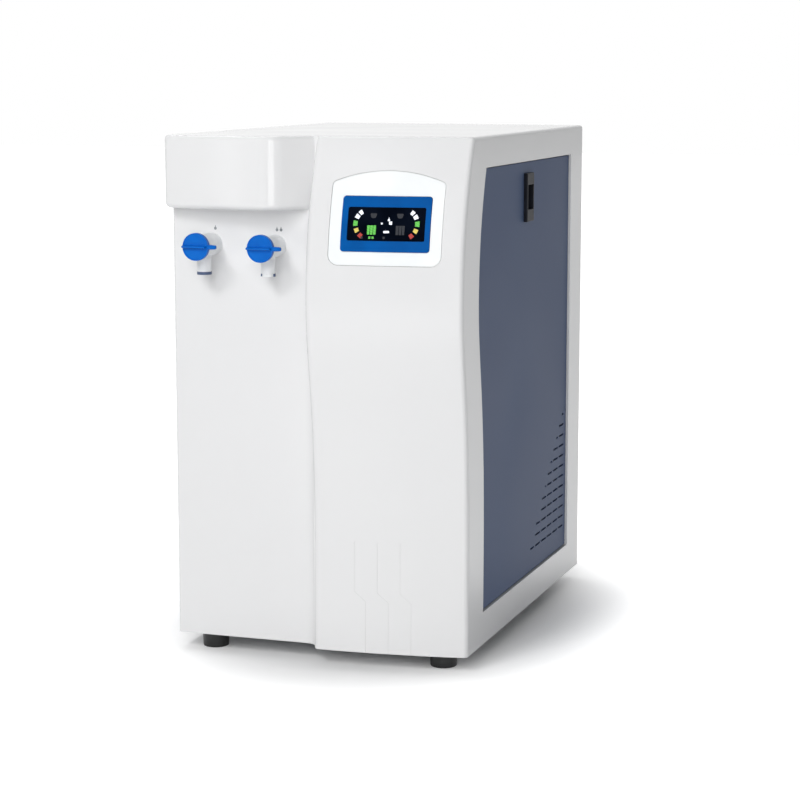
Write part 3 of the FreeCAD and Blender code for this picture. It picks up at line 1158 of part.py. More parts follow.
# Electronics
supply = box(("-(%s) - supply_wide" % half_sheet, "-(%s)" % half_sheet),
             ("rear_y - supply_front_back", "rear_y - supply_rear_back"),
             ("supply_bottom", "supply_bottom + supply_high"))
keep("power_supply", supply)
control = (half_sheet + " + post_high", half_sheet + " + post_high + board_thick")
board = slab("YZ_Plane", [("rear_y - control_front_back", "control_bottom"),
                          ("rear_y - control_rear_back", "control_bottom"),
                          ("rear_y - control_rear_back", "control_bottom + control_high"),
                          ("rear_y - control_front_back", "control_bottom + control_high")], *control)
posts = [rod("x", "post_radius", (y, z), (half_sheet, half_sheet + " + post_high"))
         for y in ("rear_y - control_front_back + post_inset", "rear_y - control_rear_back - post_inset")
         for z in ("control_bottom + post_inset", "control_bottom + control_high - post_inset")]
chip_y, chip_z = "rear_y - control_front_back + chip_side * ", "control_bottom + chip_side * "
chips = [box((control[1], control[1] + " + chip_thick"),
             (chip_y + "%d" % y, chip_y + "%d" % (y + 1)), (chip_z + "%d" % z, chip_z + "%d" % (z + 1)))
         for y, z in ((1, 1), (3, 2), (1, 4), (4, 5), (5, 1))]
keep("control_board", join(board, *chips))
keep("board_posts", group(*posts))

# Inlet valve and conductivity cell
spot = ("-valve_x", "rear_y - valve_back")
block_part = box(("-valve_x - valve_side / 2", "-valve_x + valve_side / 2"),
                 ("rear_y - valve_back - valve_side / 2", "rear_y - valve_back + valve_side / 2"),
                 ("base_top", "base_top + valve_high"))
coil = rod("z", "coil_radius", spot, ("base_top + valve_high", "base_top + valve_high + coil_high"))
keep("inlet_valve", join(block_part, coil))
keep("conductivity_cell", rod("z", "cell_radius", lamp_spot, ("base_top", "base_top + cell_high")))


def tube_along(points):
    """A tube of straight runs joined by tangent arcs of one bend radius."""
    spots = [V(size(x), size(y), size(z)) for x, y, z in points]
    radius = size("tube_bend")
    edges, last = [], spots[0]
    for corner in zip(spots, spots[1:], spots[2:]):
        start, middle, end = bend(*corner, radius)
        edges.append(Part.makeLine(last, start))
        edges.append(Part.Arc(start, middle, end).toShape())
        last = end
    edges.append(Part.makeLine(last, spots[-1]))
    path = Part.Wire(edges)
    first = (spots[1] - spots[0]).normalize()
    rings = []
    for radius_now in (size("tube_radius"), size("tube_radius") - size("tube_wall")):
        circle = Part.Wire([Part.makeCircle(radius_now, spots[0], first)])
        rings.append(path.makePipeShell([circle], True, False))
    shape = rings[0].cut(rings[1])
    area = math.pi * (size("tube_radius") ** 2 - (size("tube_radius") - size("tube_wall")) ** 2)
    print("tube: length %.1f, volume over section %.4f" % (path.Length, shape.Volume / area / path.Length))
    return shape


# Tubing: feed to the prefilter, vessel to the left tap, polisher to the right tap, lamp to polisher
pre_y, pol_y = "rear_y - prefilter_back", "rear_y - polisher_back"
keep("feed_tube", solid(tube_along([
    (ports[0], "rear_y - port_shank_in", "port_level"), (ports[0], "rear_y - feed_back", "port_level"),
    ("-feed_side", "rear_y - feed_back", "feed_level"),
    ("-cartridge_x - stub_side", pre_y, "feed_level"),
    ("-cartridge_x - stub_side", pre_y, "head_top")])))
keep("left_tap_tube", solid(tube_along([
    ("-vessel_x", "vessel_y", "vessel_top"), ("-vessel_x", "vessel_y", "link_level + tube_bend"),
    ("-tap_left / 2", "rear_y - link_back", "link_level + tube_bend"),
    ("-tap_left", "rear_y - link_back", "link_level"), ("-tap_left", "rear_y - link_back", "tap_level"),
    ("-tap_left", "recess_y + tail_depth", "tap_level")])))
keep("right_tap_tube", solid(tube_along([
    ("cartridge_x - stub_side", pol_y, "head_top"), ("cartridge_x - stub_side", pol_y, "cross_level"),
    ("cartridge_x - stub_side", "rear_y - cross_back", "cross_level"),
    ("-tap_right", "rear_y - cross_back", "cross_level"),
    ("-tap_right", "rear_y - cross_back", "tap_level"),
    ("-tap_right", "recess_y + tail_depth", "tap_level")])))
keep("lamp_tube_line", solid(tube_along([
    ("lamp_x", "lamp_y", "lamp_top"), ("lamp_x", "lamp_y", "lamp_link_level"),
    ("cartridge_x + stub_side", pol_y, "lamp_link_level"),
    ("cartridge_x + stub_side", pol_y, "head_top")])))

doc.recompute()
for obj in doc.Objects:
    if "Invalid" in obj.State or "Error" in obj.State:
        raise RuntimeError("%s (%s) is not built: %s" % (obj.Name, obj.Label, obj.State))
for label, obj in PARTS.items():
    if obj.Shape.isNull() or not obj.Shape.isValid() or not obj.Shape.Solids:
        raise RuntimeError("%s has no valid solid" % label)
os.makedirs("parts", exist_ok=True)
for label, obj in PARTS.items():
    obj.Shape.exportStep("parts/%s.step" % label)
print("%d parts" % len(PARTS))
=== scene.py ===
# %% [markdown]
# # A bench-top ultrapure water system
# The object is a slim moulded cabinet. Its right half is a bellied column with a display, its left
# half is a dispensing recess with two blue quarter-turn taps under a hood. The engineering model
# arrives as a fixed frame, and this lesson gives it finishes, fine edges, small pieces and light.

# %% Load the frame
import json
import math

import bmesh
import bpy
from mathutils import Matrix, Vector


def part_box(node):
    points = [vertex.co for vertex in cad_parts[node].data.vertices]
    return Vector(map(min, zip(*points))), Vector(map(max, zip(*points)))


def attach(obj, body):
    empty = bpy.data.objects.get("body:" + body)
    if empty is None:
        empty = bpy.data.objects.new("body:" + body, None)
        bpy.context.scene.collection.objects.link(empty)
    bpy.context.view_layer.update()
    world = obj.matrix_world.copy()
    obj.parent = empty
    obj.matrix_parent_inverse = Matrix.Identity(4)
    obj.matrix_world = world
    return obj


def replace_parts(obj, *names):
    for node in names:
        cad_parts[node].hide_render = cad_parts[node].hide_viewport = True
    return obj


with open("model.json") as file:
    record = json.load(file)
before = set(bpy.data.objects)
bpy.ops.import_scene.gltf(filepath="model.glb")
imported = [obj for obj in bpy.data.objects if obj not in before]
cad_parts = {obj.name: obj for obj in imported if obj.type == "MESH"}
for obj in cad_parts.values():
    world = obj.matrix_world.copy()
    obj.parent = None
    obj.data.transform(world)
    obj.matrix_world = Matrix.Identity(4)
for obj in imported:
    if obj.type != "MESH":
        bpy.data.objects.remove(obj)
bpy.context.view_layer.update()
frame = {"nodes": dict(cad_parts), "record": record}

MM = 0.001

# %% [markdown]
# ## Camera
# The photograph was taken from the front right, a little above the middle, with a long lens.
# The place, the two angles and the focal length come from fitting the cabinet's straight edges.

# %% Camera
CAMERA_PLACE = Vector((0.7991, -2.2993, 0.6161))
CAMERA_YAW, CAMERA_PITCH = math.radians(-18.81), math.radians(-8.73)
CAMERA_LENS = 99.93
camera = bpy.data.objects.new("camera", bpy.data.cameras.new("camera"))
bpy.context.scene.collection.objects.link(camera)
bpy.context.scene.camera = camera
ahead = Vector((math.sin(CAMERA_YAW) * math.cos(CAMERA_PITCH),
                math.cos(CAMERA_YAW) * math.cos(CAMERA_PITCH), math.sin(CAMERA_PITCH)))
camera.location = CAMERA_PLACE
camera.rotation_mode = "QUATERNION"
camera.rotation_quaternion = ahead.to_track_quat("-Z", "Y")
camera.data.sensor_width = 36.0
camera.data.lens = CAMERA_LENS
camera.data.clip_end = 50.0

# %% [markdown]
# ## Colour and node helpers
# Paint and plastic colours are picked as sRGB hex values, as on a colour chart, and turned to
# the linear values that a shader works in. One helper adds a node with its settings and links.

# %% Helpers for colours and nodes
def linear(hex_colour):
    """A hex colour such as "E8E8EA" as linear red, green, blue and alpha."""
    values = [int(hex_colour[i:i + 2], 16) / 255 for i in (0, 2, 4)]
    return (*[v / 12.92 if v <= 0.04045 else ((v + 0.055) / 1.055) ** 2.4 for v in values], 1.0)


def add_node(material, kind, settings=None, links=None):
    """Add one node, set its sockets or options by name, and link outputs to its inputs."""
    node = material.node_tree.nodes.new(kind)
    for name, value in (settings or {}).items():
        if isinstance(name, int) or name in node.inputs:
            node.inputs[name].default_value = value
        else:
            setattr(node, name, value)
    for name, output in (links or {}).items():
        material.node_tree.links.new(output, node.inputs[name])
    return node


def new_material(name, **sockets):
    """A material with a Principled shader whose plain sockets are set here."""
    material = bpy.data.materials.new(name)
    material.use_nodes = True
    shader = material.node_tree.nodes["Principled BSDF"]
    for socket, value in sockets.items():
        shader.inputs[socket.replace("_", " ")].default_value = value
    return material, shader


def two_tones(material, factor, low, high, start=0.35, end=0.65):
    """Spread a pattern between two hex colours and return the colour output."""
    ramp = add_node(material, "ShaderNodeValToRGB", links={"Fac": factor})
    for stop, place, tone in zip(ramp.color_ramp.elements, (start, end), (low, high)):
        stop.position, stop.color = place, linear(tone)
    return ramp.outputs["Color"]


def pattern(material, size_mm, detail=2.0, stretch=(1, 1, 1), rough=0.5):
    """Noise whose lumps are about size_mm across, squeezed along each axis by stretch."""
    where = add_node(material, "ShaderNodeTexCoord").outputs["Object"]
    turned = add_node(material, "ShaderNodeMapping", {"Scale": stretch}, {"Vector": where})
    return add_node(material, "ShaderNodeTexNoise",
                    {"Scale": 1 / (size_mm * MM), "Detail": detail, "Roughness": rough},
                    {"Vector": turned.outputs["Vector"]}).outputs["Fac"]


def relief(material, shader, height, depth_mm, strength=1.0):
    """Let a pattern stand out of the surface by depth_mm."""
    bump = add_node(material, "ShaderNodeBump", {"Distance": depth_mm * MM, "Strength": strength},
                    {"Height": height})
    material.node_tree.links.new(bump.outputs["Normal"], shader.inputs["Normal"])


def spread(material, shader, socket, factor, low, high):
    """Vary a number of the shader between two values with a pattern."""
    span = add_node(material, "ShaderNodeMapRange",
                    {"From Min": 0.3, "From Max": 0.7, "To Min": low, "To Max": high},
                    {"Value": factor})
    material.node_tree.links.new(span.outputs["Result"], shader.inputs[socket])


def tint(material, shader, colour):
    material.node_tree.links.new(colour, shader.inputs["Base Color"])

# %% [markdown]
# ## Gloss ABS of the cabinet
# The cabinet and its front are injection-moulded white ABS from a polished tool. A large
# soft noise shifts the tone a hair, as thick and thin stretches of a moulding do, and another
# makes the gloss uneven, as hands and wiping do. The orange-peel waves of such a surface are too
# fine to show from where the camera stands, so they are left out.

# %% Cabinet materials
def cabinet_abs():
    material, shader = new_material("gloss_abs_white", IOR=1.53, Specular_IOR_Level=0.4)
    tint(material, shader, two_tones(material, pattern(material, 260, 1.0), "E1E1E2", "E5E5E5",
                                     0.0, 1.0))
    spread(material, shader, "Roughness", pattern(material, 180, 1.0), 0.12, 0.17)
    return material


def surround_abs():
    material, shader = new_material("satin_abs_surround", IOR=1.53)
    tint(material, shader, two_tones(material, pattern(material, 40), "F1F4F5", "F6F8F8"))
    spread(material, shader, "Roughness", pattern(material, 60, 1.0), 0.32, 0.4)
    return material


def panel_paint():
    """Powder-textured blue-grey side panel."""
    material, shader = new_material("textured_abs_blue_grey", IOR=1.5, Specular_IOR_Level=0.06)
    tint(material, shader, two_tones(material, pattern(material, 220, 1.0), "4C5B7A", "536280"))
    spread(material, shader, "Roughness", pattern(material, 200, 1.0), 0.44, 0.5)
    relief(material, shader, pattern(material, 1.2, 0.0), 0.02, 0.4)
    return material


def pull_plastic():
    material, shader = new_material("spark_textured_black_abs", Roughness=0.55, IOR=1.5,
                                    Specular_IOR_Level=0.2)
    tint(material, shader, two_tones(material, pattern(material, 14), "0A0C12", "12151D"))
    relief(material, shader, pattern(material, 0.6, 2.0), 0.05, 0.8)
    return material


cabinet_white, surround_white = cabinet_abs(), surround_abs()
panel_blue, pull_black = panel_paint(), pull_plastic()

# %% [markdown]
# ## Small moulded parts
# Knobs, bezel, fittings and caps are all moulded, so one recipe serves them: a base tone that
# drifts a little, a fine grain and a gloss. What differs is the colour, the grain and the gloss.

# %% Small moulded parts, rubber and metals
def moulded(name, low, high, rough, grain_mm=1.0, depth_mm=0.015, sheen=0.5):
    material, shader = new_material(name, IOR=1.5, Specular_IOR_Level=sheen)
    tint(material, shader, two_tones(material, pattern(material, 18), low, high))
    spread(material, shader, "Roughness", pattern(material, 12, 2), rough * 0.9, rough * 1.1)
    relief(material, shader, pattern(material, grain_mm, 1.0), depth_mm, 0.7)
    return material


def brushed(name, low, high, rough, stretch):
    """Metal with fine lines along one direction: noise squeezed across the lines."""
    material, shader = new_material(name, Metallic=1.0, Roughness=rough)
    lines = pattern(material, 1.2, 3.0, stretch)
    tint(material, shader, two_tones(material, lines, low, high))
    spread(material, shader, "Roughness", lines, rough * 0.75, rough * 1.3)
    relief(material, shader, lines, 0.01, 0.5)
    return material


knob_blue = moulded("gloss_polypropylene_blue", "0560BC", "0868C6", 0.34, 8.0, 0.02, 0.15)
bezel_blue = moulded("gloss_abs_bezel_blue", "00519A", "0057A4", 0.34, 10.0, 0.02, 0.1)
tap_white = moulded("satin_polypropylene_white", "E0E2E4", "ECEDEE", 0.4, 0.9, 0.01)
collar_grey = moulded("satin_acetal_slate", "3A4A66", "455676", 0.4, 0.6, 0.01)
fitting_grey = moulded("acetal_fitting_grey", "8D9094", "9B9EA2", 0.42, 0.8, 0.01)
fitting_blue = moulded("acetal_collet_blue", "1D57A8", "2562B4", 0.4, 0.8, 0.01)
filter_white = moulded("polypropylene_housing_white", "DDE0E2", "E8EAEB", 0.42, 1.4, 0.02)
filter_blue = moulded("glass_filled_nylon_blue", "23508F", "2B5A9B", 0.5, 0.7, 0.03)
fan_black = moulded("pbt_black", "121315", "1B1C1F", 0.45, 0.7, 0.02)
pump_black = moulded("black_e_coat", "15161A", "1E2024", 0.4, 0.8, 0.02)
pump_grey = moulded("glass_filled_nylon_grey", "45484D", "50535A", 0.5, 0.7, 0.03)
foot_rubber = moulded("moulded_nitrile_rubber", "0A0B0C", "121314", 0.36, 0.8, 0.02)
seal_rubber = moulded("silicone_seal_red", "7A1E18", "8A2A20", 0.5, 0.5, 0.02)
sheet_grey = moulded("powder_coated_sheet_steel", "B4B7BA", "BEC1C4", 0.5, 0.8, 0.04)
screw_steel = brushed("zinc_plated_steel", "9EA1A4", "B9BCBE", 0.32, (1, 6, 1))
reactor_steel = brushed("polished_stainless_steel", "B2B5B8", "C6C9CB", 0.22, (3, 3, 0.15))
supply_steel = brushed("pressed_aluminium", "A7AAAC", "B8BBBD", 0.36, (0.3, 5, 5))
brass = brushed("turned_brass", "B98D45", "CDA25A", 0.28, (5, 5, 1))
magnet_dark = moulded("nickel_plated_magnet", "5A5C60", "6A6C70", 0.3, 0.8, 0.01)

# %% [markdown]
# ## Window glass, board and tubing
# The display window is tinted glass over a dark layer, coated against reflections, so it is
# nearly black and hardly shines. The board's green solder mask carries lighter copper tracks,
# drawn here by a brick pattern. The tubing is milky polyethylene and lets a little light through.

# %% Window, board, tubing and quartz
def window_glass():
    material, shader = new_material("tinted_display_glass", IOR=1.52, Specular_IOR_Level=0.0)
    tint(material, shader, two_tones(material, pattern(material, 22, 1.0), "060A14", "0B101C"))
    spread(material, shader, "Roughness", pattern(material, 30, 2), 0.05, 0.09)
    return material


def circuit_board():
    material, shader = new_material("solder_mask_green", Roughness=0.38, IOR=1.5)
    where = add_node(material, "ShaderNodeTexCoord").outputs["Object"]
    turned = add_node(material, "ShaderNodeMapping", {"Rotation": (0.0, math.radians(90), 0.0)},
                      {"Vector": where})
    tracks = add_node(material, "ShaderNodeTexBrick",
                      {"Scale": 60.0, "Mortar Size": 0.04, "Color1": linear("0E5A2C"),
                       "Color2": linear("0C5228"), "Mortar": linear("3E8A4A")},
                      {"Vector": turned.outputs["Vector"]})
    tint(material, shader, tracks.outputs["Color"])
    relief(material, shader, tracks.outputs["Fac"], 0.03, 0.6)
    return material


def clear_tube():
    material, shader = new_material("milky_polyethylene_tube", Roughness=0.3, IOR=1.5)
    shader.inputs["Transmission Weight"].default_value = 0.25
    tint(material, shader, two_tones(material, pattern(material, 30), "C9D6E4", "DCE5EE"))
    relief(material, shader, pattern(material, 1.5, 1.0), 0.02, 0.5)
    return material


def membrane_wrap():
    """Wound film with a spiral tape edge."""
    material, shader = new_material("wound_membrane_film", Roughness=0.35, IOR=1.5)
    tint(material, shader, two_tones(material, pattern(material, 14, 2.0, (0.2, 0.2, 3)),
                                     "B9C7BF", "D3DDD5"))
    relief(material, shader, pattern(material, 2.0, 1.0, (0.2, 0.2, 2)), 0.05, 0.6)
    return material


def quartz():
    material, shader = new_material("clear_quartz_sleeve", Roughness=0.05, IOR=1.46)
    shader.inputs["Transmission Weight"].default_value = 0.6
    tint(material, shader, two_tones(material, pattern(material, 30), "D8DEF2", "E8ECF8"))
    return material


window_dark, board_green, tube_clear = window_glass(), circuit_board(), clear_tube()
film, quartz_clear = membrane_wrap(), quartz()

# %% [markdown]
# ## Dress the frame's own nodes
# Every node of the frame gets the finish of the real piece. Pieces of one stuff share a material.

# %% Which finish goes on which node
FINISHES = {
    cabinet_white: ["front_cover", "cabinet_shell", "port_collet_3"],
    surround_white: ["display_surround"],
    panel_blue: ["side_panel_right", "side_panel_left"],
    pull_black: ["side_pull_right", "side_pull_left"],
    bezel_blue: ["display_bezel"],
    window_dark: ["display_window"],
    knob_blue: ["tap_knob_left", "tap_knob_right"],
    tap_white: ["tap_body_left", "tap_body_right", "tap_stem_left", "tap_stem_right"],
    collar_grey: ["nozzle_collars"],
    foot_rubber: ["feet"],
    seal_rubber: ["tap_seals"],
    fitting_grey: ["port_bodies", "bulkhead_nuts", "port_collet_2", "tube_clips"],
    fitting_blue: ["port_collet_1"],
    filter_white: ["prefilter_cartridge", "polisher_cartridge", "membrane_vessel"],
    filter_blue: ["prefilter_head", "polisher_head"],
    fan_black: ["fan_frame", "fan_rotor", "power_inlet", "fuse_drawer", "switch_body",
                "switch_rocker"],
    pump_black: ["pump_motors", "display_module"],
    pump_grey: ["pump_heads"],
    sheet_grey: ["base_plate", "rear_panel", "centre_partition", "pump_cradles"],
    screw_steel: ["foot_bolts", "rear_screws", "strike_plate_right", "strike_plate_left"],
    reactor_steel: ["lamp_housing", "conductivity_cell"],
    supply_steel: ["power_supply"],
    brass: ["board_posts", "inlet_valve"],
    magnet_dark: ["catch_magnets"],
    board_green: ["control_board", "display_board"],
    tube_clear: ["feed_tube", "left_tap_tube", "right_tap_tube", "lamp_tube_line"],
    film: ["membrane_element"],
    quartz_clear: ["lamp_tube"],
}
for material, names in FINISHES.items():
    for name in names:
        slots = frame["nodes"][name].data.materials
        slots.clear()
        slots.append(material)
bare = set(frame["nodes"]) - {name for names in FINISHES.values() for name in names}
print("nodes without a finish:", sorted(bare))

# %% [markdown]
# ## Modelling helpers
# The new pieces are modelled as by hand. A primitive is added at its size and place, shaped in
# edit mode, and finished by a small bevel, because no real edge is perfectly sharp and the soft
# line of light along an edge is what makes a part look made. These few helpers keep the steps
# short: begin a piece, choose some of its faces, finish it, copy it, join several into one.

# %% Helpers for modelling
BODY_OF = {node: body for body, nodes in frame["record"]["behaviour"]["bodies"].items()
           for node in nodes}


def alone(piece):
    """Leave edit mode and select this piece and nothing else."""
    if bpy.context.mode != "OBJECT":
        bpy.ops.object.mode_set(mode="OBJECT")
    bpy.ops.object.select_all(action="DESELECT")
    piece.select_set(True)
    bpy.context.view_layer.objects.active = piece


def begin(kind, **place):
    """Add a primitive with nothing else selected and go into edit mode."""
    bpy.ops.object.select_all(action="DESELECT")
    getattr(bpy.ops.mesh, "primitive_%s_add" % kind)(**place)
    bpy.ops.object.transform_apply(location=True, rotation=True, scale=True)
    bpy.ops.object.mode_set(mode="EDIT")
    return bpy.context.object


def begin_box(low, high):
    """A box between two corners, given in millimetres."""
    low, high = Vector(low) * MM, Vector(high) * MM
    return begin("cube", size=1.0, location=(low + high) / 2, scale=high - low)


def begin_rod(start, end, radius, sides=32):
    """A round bar between two points, given in millimetres."""
    start, end = Vector(start) * MM, Vector(end) * MM
    turn = (end - start).to_track_quat("Z", "Y").to_euler()
    return begin("cylinder", vertices=sides, radius=radius * MM, depth=(end - start).length,
                 location=(start + end) / 2, rotation=turn)


def choose(wanted, kind="FACE"):
    """In edit mode, select the faces, edges or points whose middle, mm, and normal pass a test."""
    bpy.ops.mesh.select_mode(type=kind)
    bpy.ops.mesh.select_all(action="DESELECT")
    mesh = bmesh.from_edit_mesh(bpy.context.object.data)
    for part in {"FACE": mesh.faces, "EDGE": mesh.edges, "VERT": mesh.verts}[kind]:
        corners = [part] if kind == "VERT" else list(part.verts)
        middle = sum((corner.co for corner in corners), Vector()) / len(corners) / MM
        normal = part.normal if kind != "EDGE" else sum((c.normal for c in corners), Vector())
        part.select_set(bool(wanted(middle, normal)))
    mesh.select_flush_mode()
    bmesh.update_edit_mesh(bpy.context.object.data)


def choose_end(axis, sign):
    """Select the flat faces that look along an axis, or against it where sign is -1."""
    choose(lambda middle, normal: getattr(normal, axis) * sign > 0.9)


def push(x=0.0, y=0.0, z=0.0):
    """Extrude the chosen faces and move them by millimetres."""
    bpy.ops.mesh.extrude_region_move(TRANSFORM_OT_translate={"value": (x * MM, y * MM, z * MM)})


def inset(thick, depth=0.0):
    bpy.ops.mesh.inset(thickness=thick * MM, depth=depth * MM)


def modify(piece, kind, **settings):
    """Add a modifier with its settings and apply it."""
    alone(piece)
    step = piece.modifiers.new(kind.lower(), kind)
    for name, value in settings.items():
        setattr(step, name, value)
    bpy.ops.object.modifier_apply(modifier=step.name)


def finished(name, material, body="cabinet", bevel=0.0, steps=2, sharp=35):
    """Soften the piece's edges, smooth it, give it its material and let it ride on its body."""
    piece = bpy.context.object
    alone(piece)
    piece.name = piece.data.name = name
    if bevel:
        modify(piece, "BEVEL", width=bevel * MM, segments=steps, limit_method="ANGLE",
               angle_limit=math.radians(sharp))
    bpy.ops.object.shade_smooth_by_angle(angle=math.radians(sharp))
    if bevel:
        modify(piece, "WEIGHTED_NORMAL", keep_sharp=True)
    piece.data.materials.clear()
    piece.data.materials.append(material)
    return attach(piece, body)


def copied(piece, name, shift=(0, 0, 0), spin=None, around=(0, 0, 0), body=None):
    """A copy with its own mesh, turned about a point and moved, both in millimetres."""
    twin = piece.copy()
    twin.data = piece.data.copy()
    bpy.context.scene.collection.objects.link(twin)
    twin.name = twin.data.name = name
    centre = Matrix.Translation(Vector(around) * MM)
    turn = centre @ (spin or Matrix.Identity(4)) @ centre.inverted()
    twin.data.transform(Matrix.Translation(Vector(shift) * MM) @ turn)
    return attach(twin, body) if body else twin


def joined(name, pieces, body="cabinet"):
    """Join several pieces, with their materials, into one."""
    alone(pieces[0])
    for piece in pieces[1:]:
        piece.select_set(True)
    bpy.ops.object.join()
    pieces[0].name = pieces[0].data.name = name
    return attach(pieces[0], body)


def repeated(name, piece, shifts):
    """Copies of a piece at several places, joined under one name. The piece itself goes."""
    copies = [copied(piece, name, shift) for shift in shifts]
    bpy.data.objects.remove(piece)
    whole = joined(name, copies)
    return whole


def softened(node, bevel, steps=2, sharp=40):
    """A copy of a CAD node with its crisp edges rounded, which stands in for the node."""
    source = frame["nodes"][node]
    piece = source.copy()
    piece.data = source.data.copy()
    bpy.context.scene.collection.objects.link(piece)
    alone(piece)
    bpy.ops.object.mode_set(mode="EDIT")
    bpy.ops.mesh.select_all(action="SELECT")
    bpy.ops.mesh.remove_doubles(threshold=0.002 * MM)
    bpy.ops.mesh.dissolve_limited(angle_limit=math.radians(0.6))
    finished(node + "_finish", source.data.materials[0], BODY_OF[node], bevel, steps, sharp)
    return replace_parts(piece, node)


def box_mm(node):
    """A node's lowest and highest corners in millimetres."""
    low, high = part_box(node)
    return Vector(low) / MM, Vector(high) / MM

# %% [markdown]
# ## Soft edges on the moulded shells
# Moulded and punched parts have a radius of a few tenths of a millimetre on every edge. The frame
# has them crisp. Copies of those nodes get a small bevel and stand in for them: the shape and size
# stay, and the edges catch the light.

# %% Round the edges of the visible mouldings
EDGE_RADII = {
    "display_bezel": 0.7, "side_panel_right": 0.35, "side_panel_left": 0.35,
    "side_pull_right": 0.5, "side_pull_left": 0.5, "tap_body_left": 0.6, "tap_body_right": 0.6,
    "port_bodies": 0.5, "power_inlet": 0.4, "fuse_drawer": 0.4, "switch_body": 0.4,
    "switch_rocker": 0.4, "feet": 0.8, "prefilter_head": 0.8, "polisher_head": 0.8,
    "pump_heads": 1.0, "power_supply": 0.6,
}
for name, radius in EDGE_RADII.items():
    twin = softened(name, radius)
    print(name, "edges rounded to", radius, "mm,", len(twin.data.polygons), "faces")

# %% [markdown]
# ## Tap knobs
# Each knob is a moulded disc with a raised grip bar across it. One end of the bar runs on past
# the disc as a short lever. The disc starts as a cylinder whose front is inset and dished, and the
# bar as a box whose front is drawn in, so that its crest is thin and catches a line of light.

# %% Model one knob and copy it
KNOB_RADIUS, KNOB_THICK, BAR_WIDE, BAR_CREST = 14.0, 5.0, 4.2, 1.5
LEVER_REACH, LEVER_HIGH = 22.0, 5.0


def knob(side):
    low, high = box_mm("tap_knob_" + side)
    x, z = high.x - LEVER_REACH, (low.z + high.z) / 2
    front, back = low.y, high.y
    face = back - KNOB_THICK
    disc = begin_rod((x, face, z), (x, back, z), KNOB_RADIUS, 72)
    choose_end("y", -1)
    inset(1.4)
    push(y=0.5)
    inset(0.8)
    disc = finished("disc", knob_blue, bevel=0.6, steps=3, sharp=25)
    bar = begin_box((x - KNOB_RADIUS - 1.0, front, z - BAR_WIDE / 2),
                    (x + KNOB_RADIUS - 1.0, back - 1.0, z + BAR_WIDE / 2))
    choose_end("y", -1)
    bpy.ops.transform.resize(value=(0.9, 1.0, BAR_CREST / BAR_WIDE))
    bar = finished("bar", knob_blue, bevel=0.5, steps=3, sharp=25)
    lever = begin_box((x + KNOB_RADIUS - 3.0, face + 0.4, z - LEVER_HIGH / 2),
                      (x + LEVER_REACH, back, z + LEVER_HIGH / 2))
    choose_end("x", 1)
    bpy.ops.transform.resize(value=(1.0, 0.9, 0.8))
    lever = finished("lever", knob_blue, bevel=1.4, steps=4, sharp=25)
    whole = joined("knob_" + side, [disc, bar, lever], "tap_" + side)
    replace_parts(whole, "tap_knob_" + side)
    return whole


for side in ("left", "right"):
    print("knob", side, len(knob(side).data.polygons), "faces")

# %% [markdown]
# ## What the display shows
# The lit display has two round gauges of white, green, yellow and red segments, a green tank
# gauge and a few small white signs. Each is a thin printed patch. A flat shape is drawn in the
# display's upright plane, dropped straight back on to the curved window by a shrinkwrap, and
# given a hair of thickness. The dot raster in their finish is that of the diffuser behind them.

# %% Finishes of the lit signs
def lit(name, low, high, glow):
    """A backlit sign: a fine dot raster under a tinted print, giving off a little light."""
    material, shader = new_material(name, Roughness=0.35, Emission_Strength=glow)
    where = add_node(material, "ShaderNodeTexCoord").outputs["Object"]
    dots = add_node(material, "ShaderNodeTexVoronoi", {"Scale": 1 / (0.5 * MM), "Randomness": 0.0},
                    {"Vector": where})
    colour = two_tones(material, dots.outputs["Distance"], high, low, 0.2, 0.7)
    tint(material, shader, colour)
    material.node_tree.links.new(colour, shader.inputs["Emission Color"])
    return material


LIT = {"white": lit("backlit_print_white", "D0D6E2", "F4F6FA", 0.45),
       "green": lit("backlit_print_green", "3E9A3C", "6CC04E", 0.35),
       "yellow": lit("backlit_print_yellow", "B9A44A", "D8C86A", 0.3),
       "red": lit("backlit_print_red", "8E2A26", "B23A30", 0.25),
       "unlit": lit("unlit_print_grey", "181B22", "23262F", 0.0)}
print("finishes of the lit signs:", ", ".join(LIT))

# %% Gauges and signs on the window
window_low, window_high = box_mm("display_window")
screen_x, screen_z = (window_low.x + window_high.x) / 2, (window_low.z + window_high.z) / 2
GAUGE_SIDE, GAUGE_OUT, GAUGE_BAND = 16.9, 16.4, 4.4
TANK_SIDE, CELL_STEP, CELL_HALF = 14.4, 3.1, 1.4
MARK_SPAN, MARK_HALF = 1.6, 1.1
AHEAD = 5.0
SEGMENTS = (("white", 121, 137), ("white", 141, 159), ("green", 167, 189), ("yellow", 197, 215),
            ("red", 223, 241))
UPRIGHT = (math.radians(90), 0.0, 0.0)


def lay_on(node, name, material, height=0.1):
    """Drop the flat piece straight back on to a node and give it a thickness."""
    piece = bpy.context.object
    modify(piece, "SHRINKWRAP", target=frame["nodes"][node], wrap_method="PROJECT",
           use_project_y=True, use_positive_direction=True)
    modify(piece, "SOLIDIFY", thickness=height * MM, offset=0.0)
    return finished(name, material)


def gauge_segment(name, side, tone, start, end):
    """A band of a round gauge: the rim of a circle between two angles, drawn in to its width."""
    x = screen_x + side * GAUGE_SIDE
    centre = Vector((x, window_low.y - AHEAD, screen_z)) * MM
    begin("circle", vertices=180, radius=GAUGE_OUT * MM, location=centre, rotation=UPRIGHT)

    def outside(middle, normal):
        angle = math.degrees(math.atan2(middle.z - screen_z, (x - middle.x) * side)) % 360
        return not start <= angle <= end

    choose(outside, "VERT")
    bpy.ops.mesh.delete(type="VERT")
    bpy.ops.mesh.select_all(action="SELECT")
    bpy.ops.mesh.extrude_region_move()
    bpy.ops.transform.resize(value=[1 - GAUGE_BAND / GAUGE_OUT] * 3, center_override=centre)
    return lay_on("display_window", name, LIT[tone])


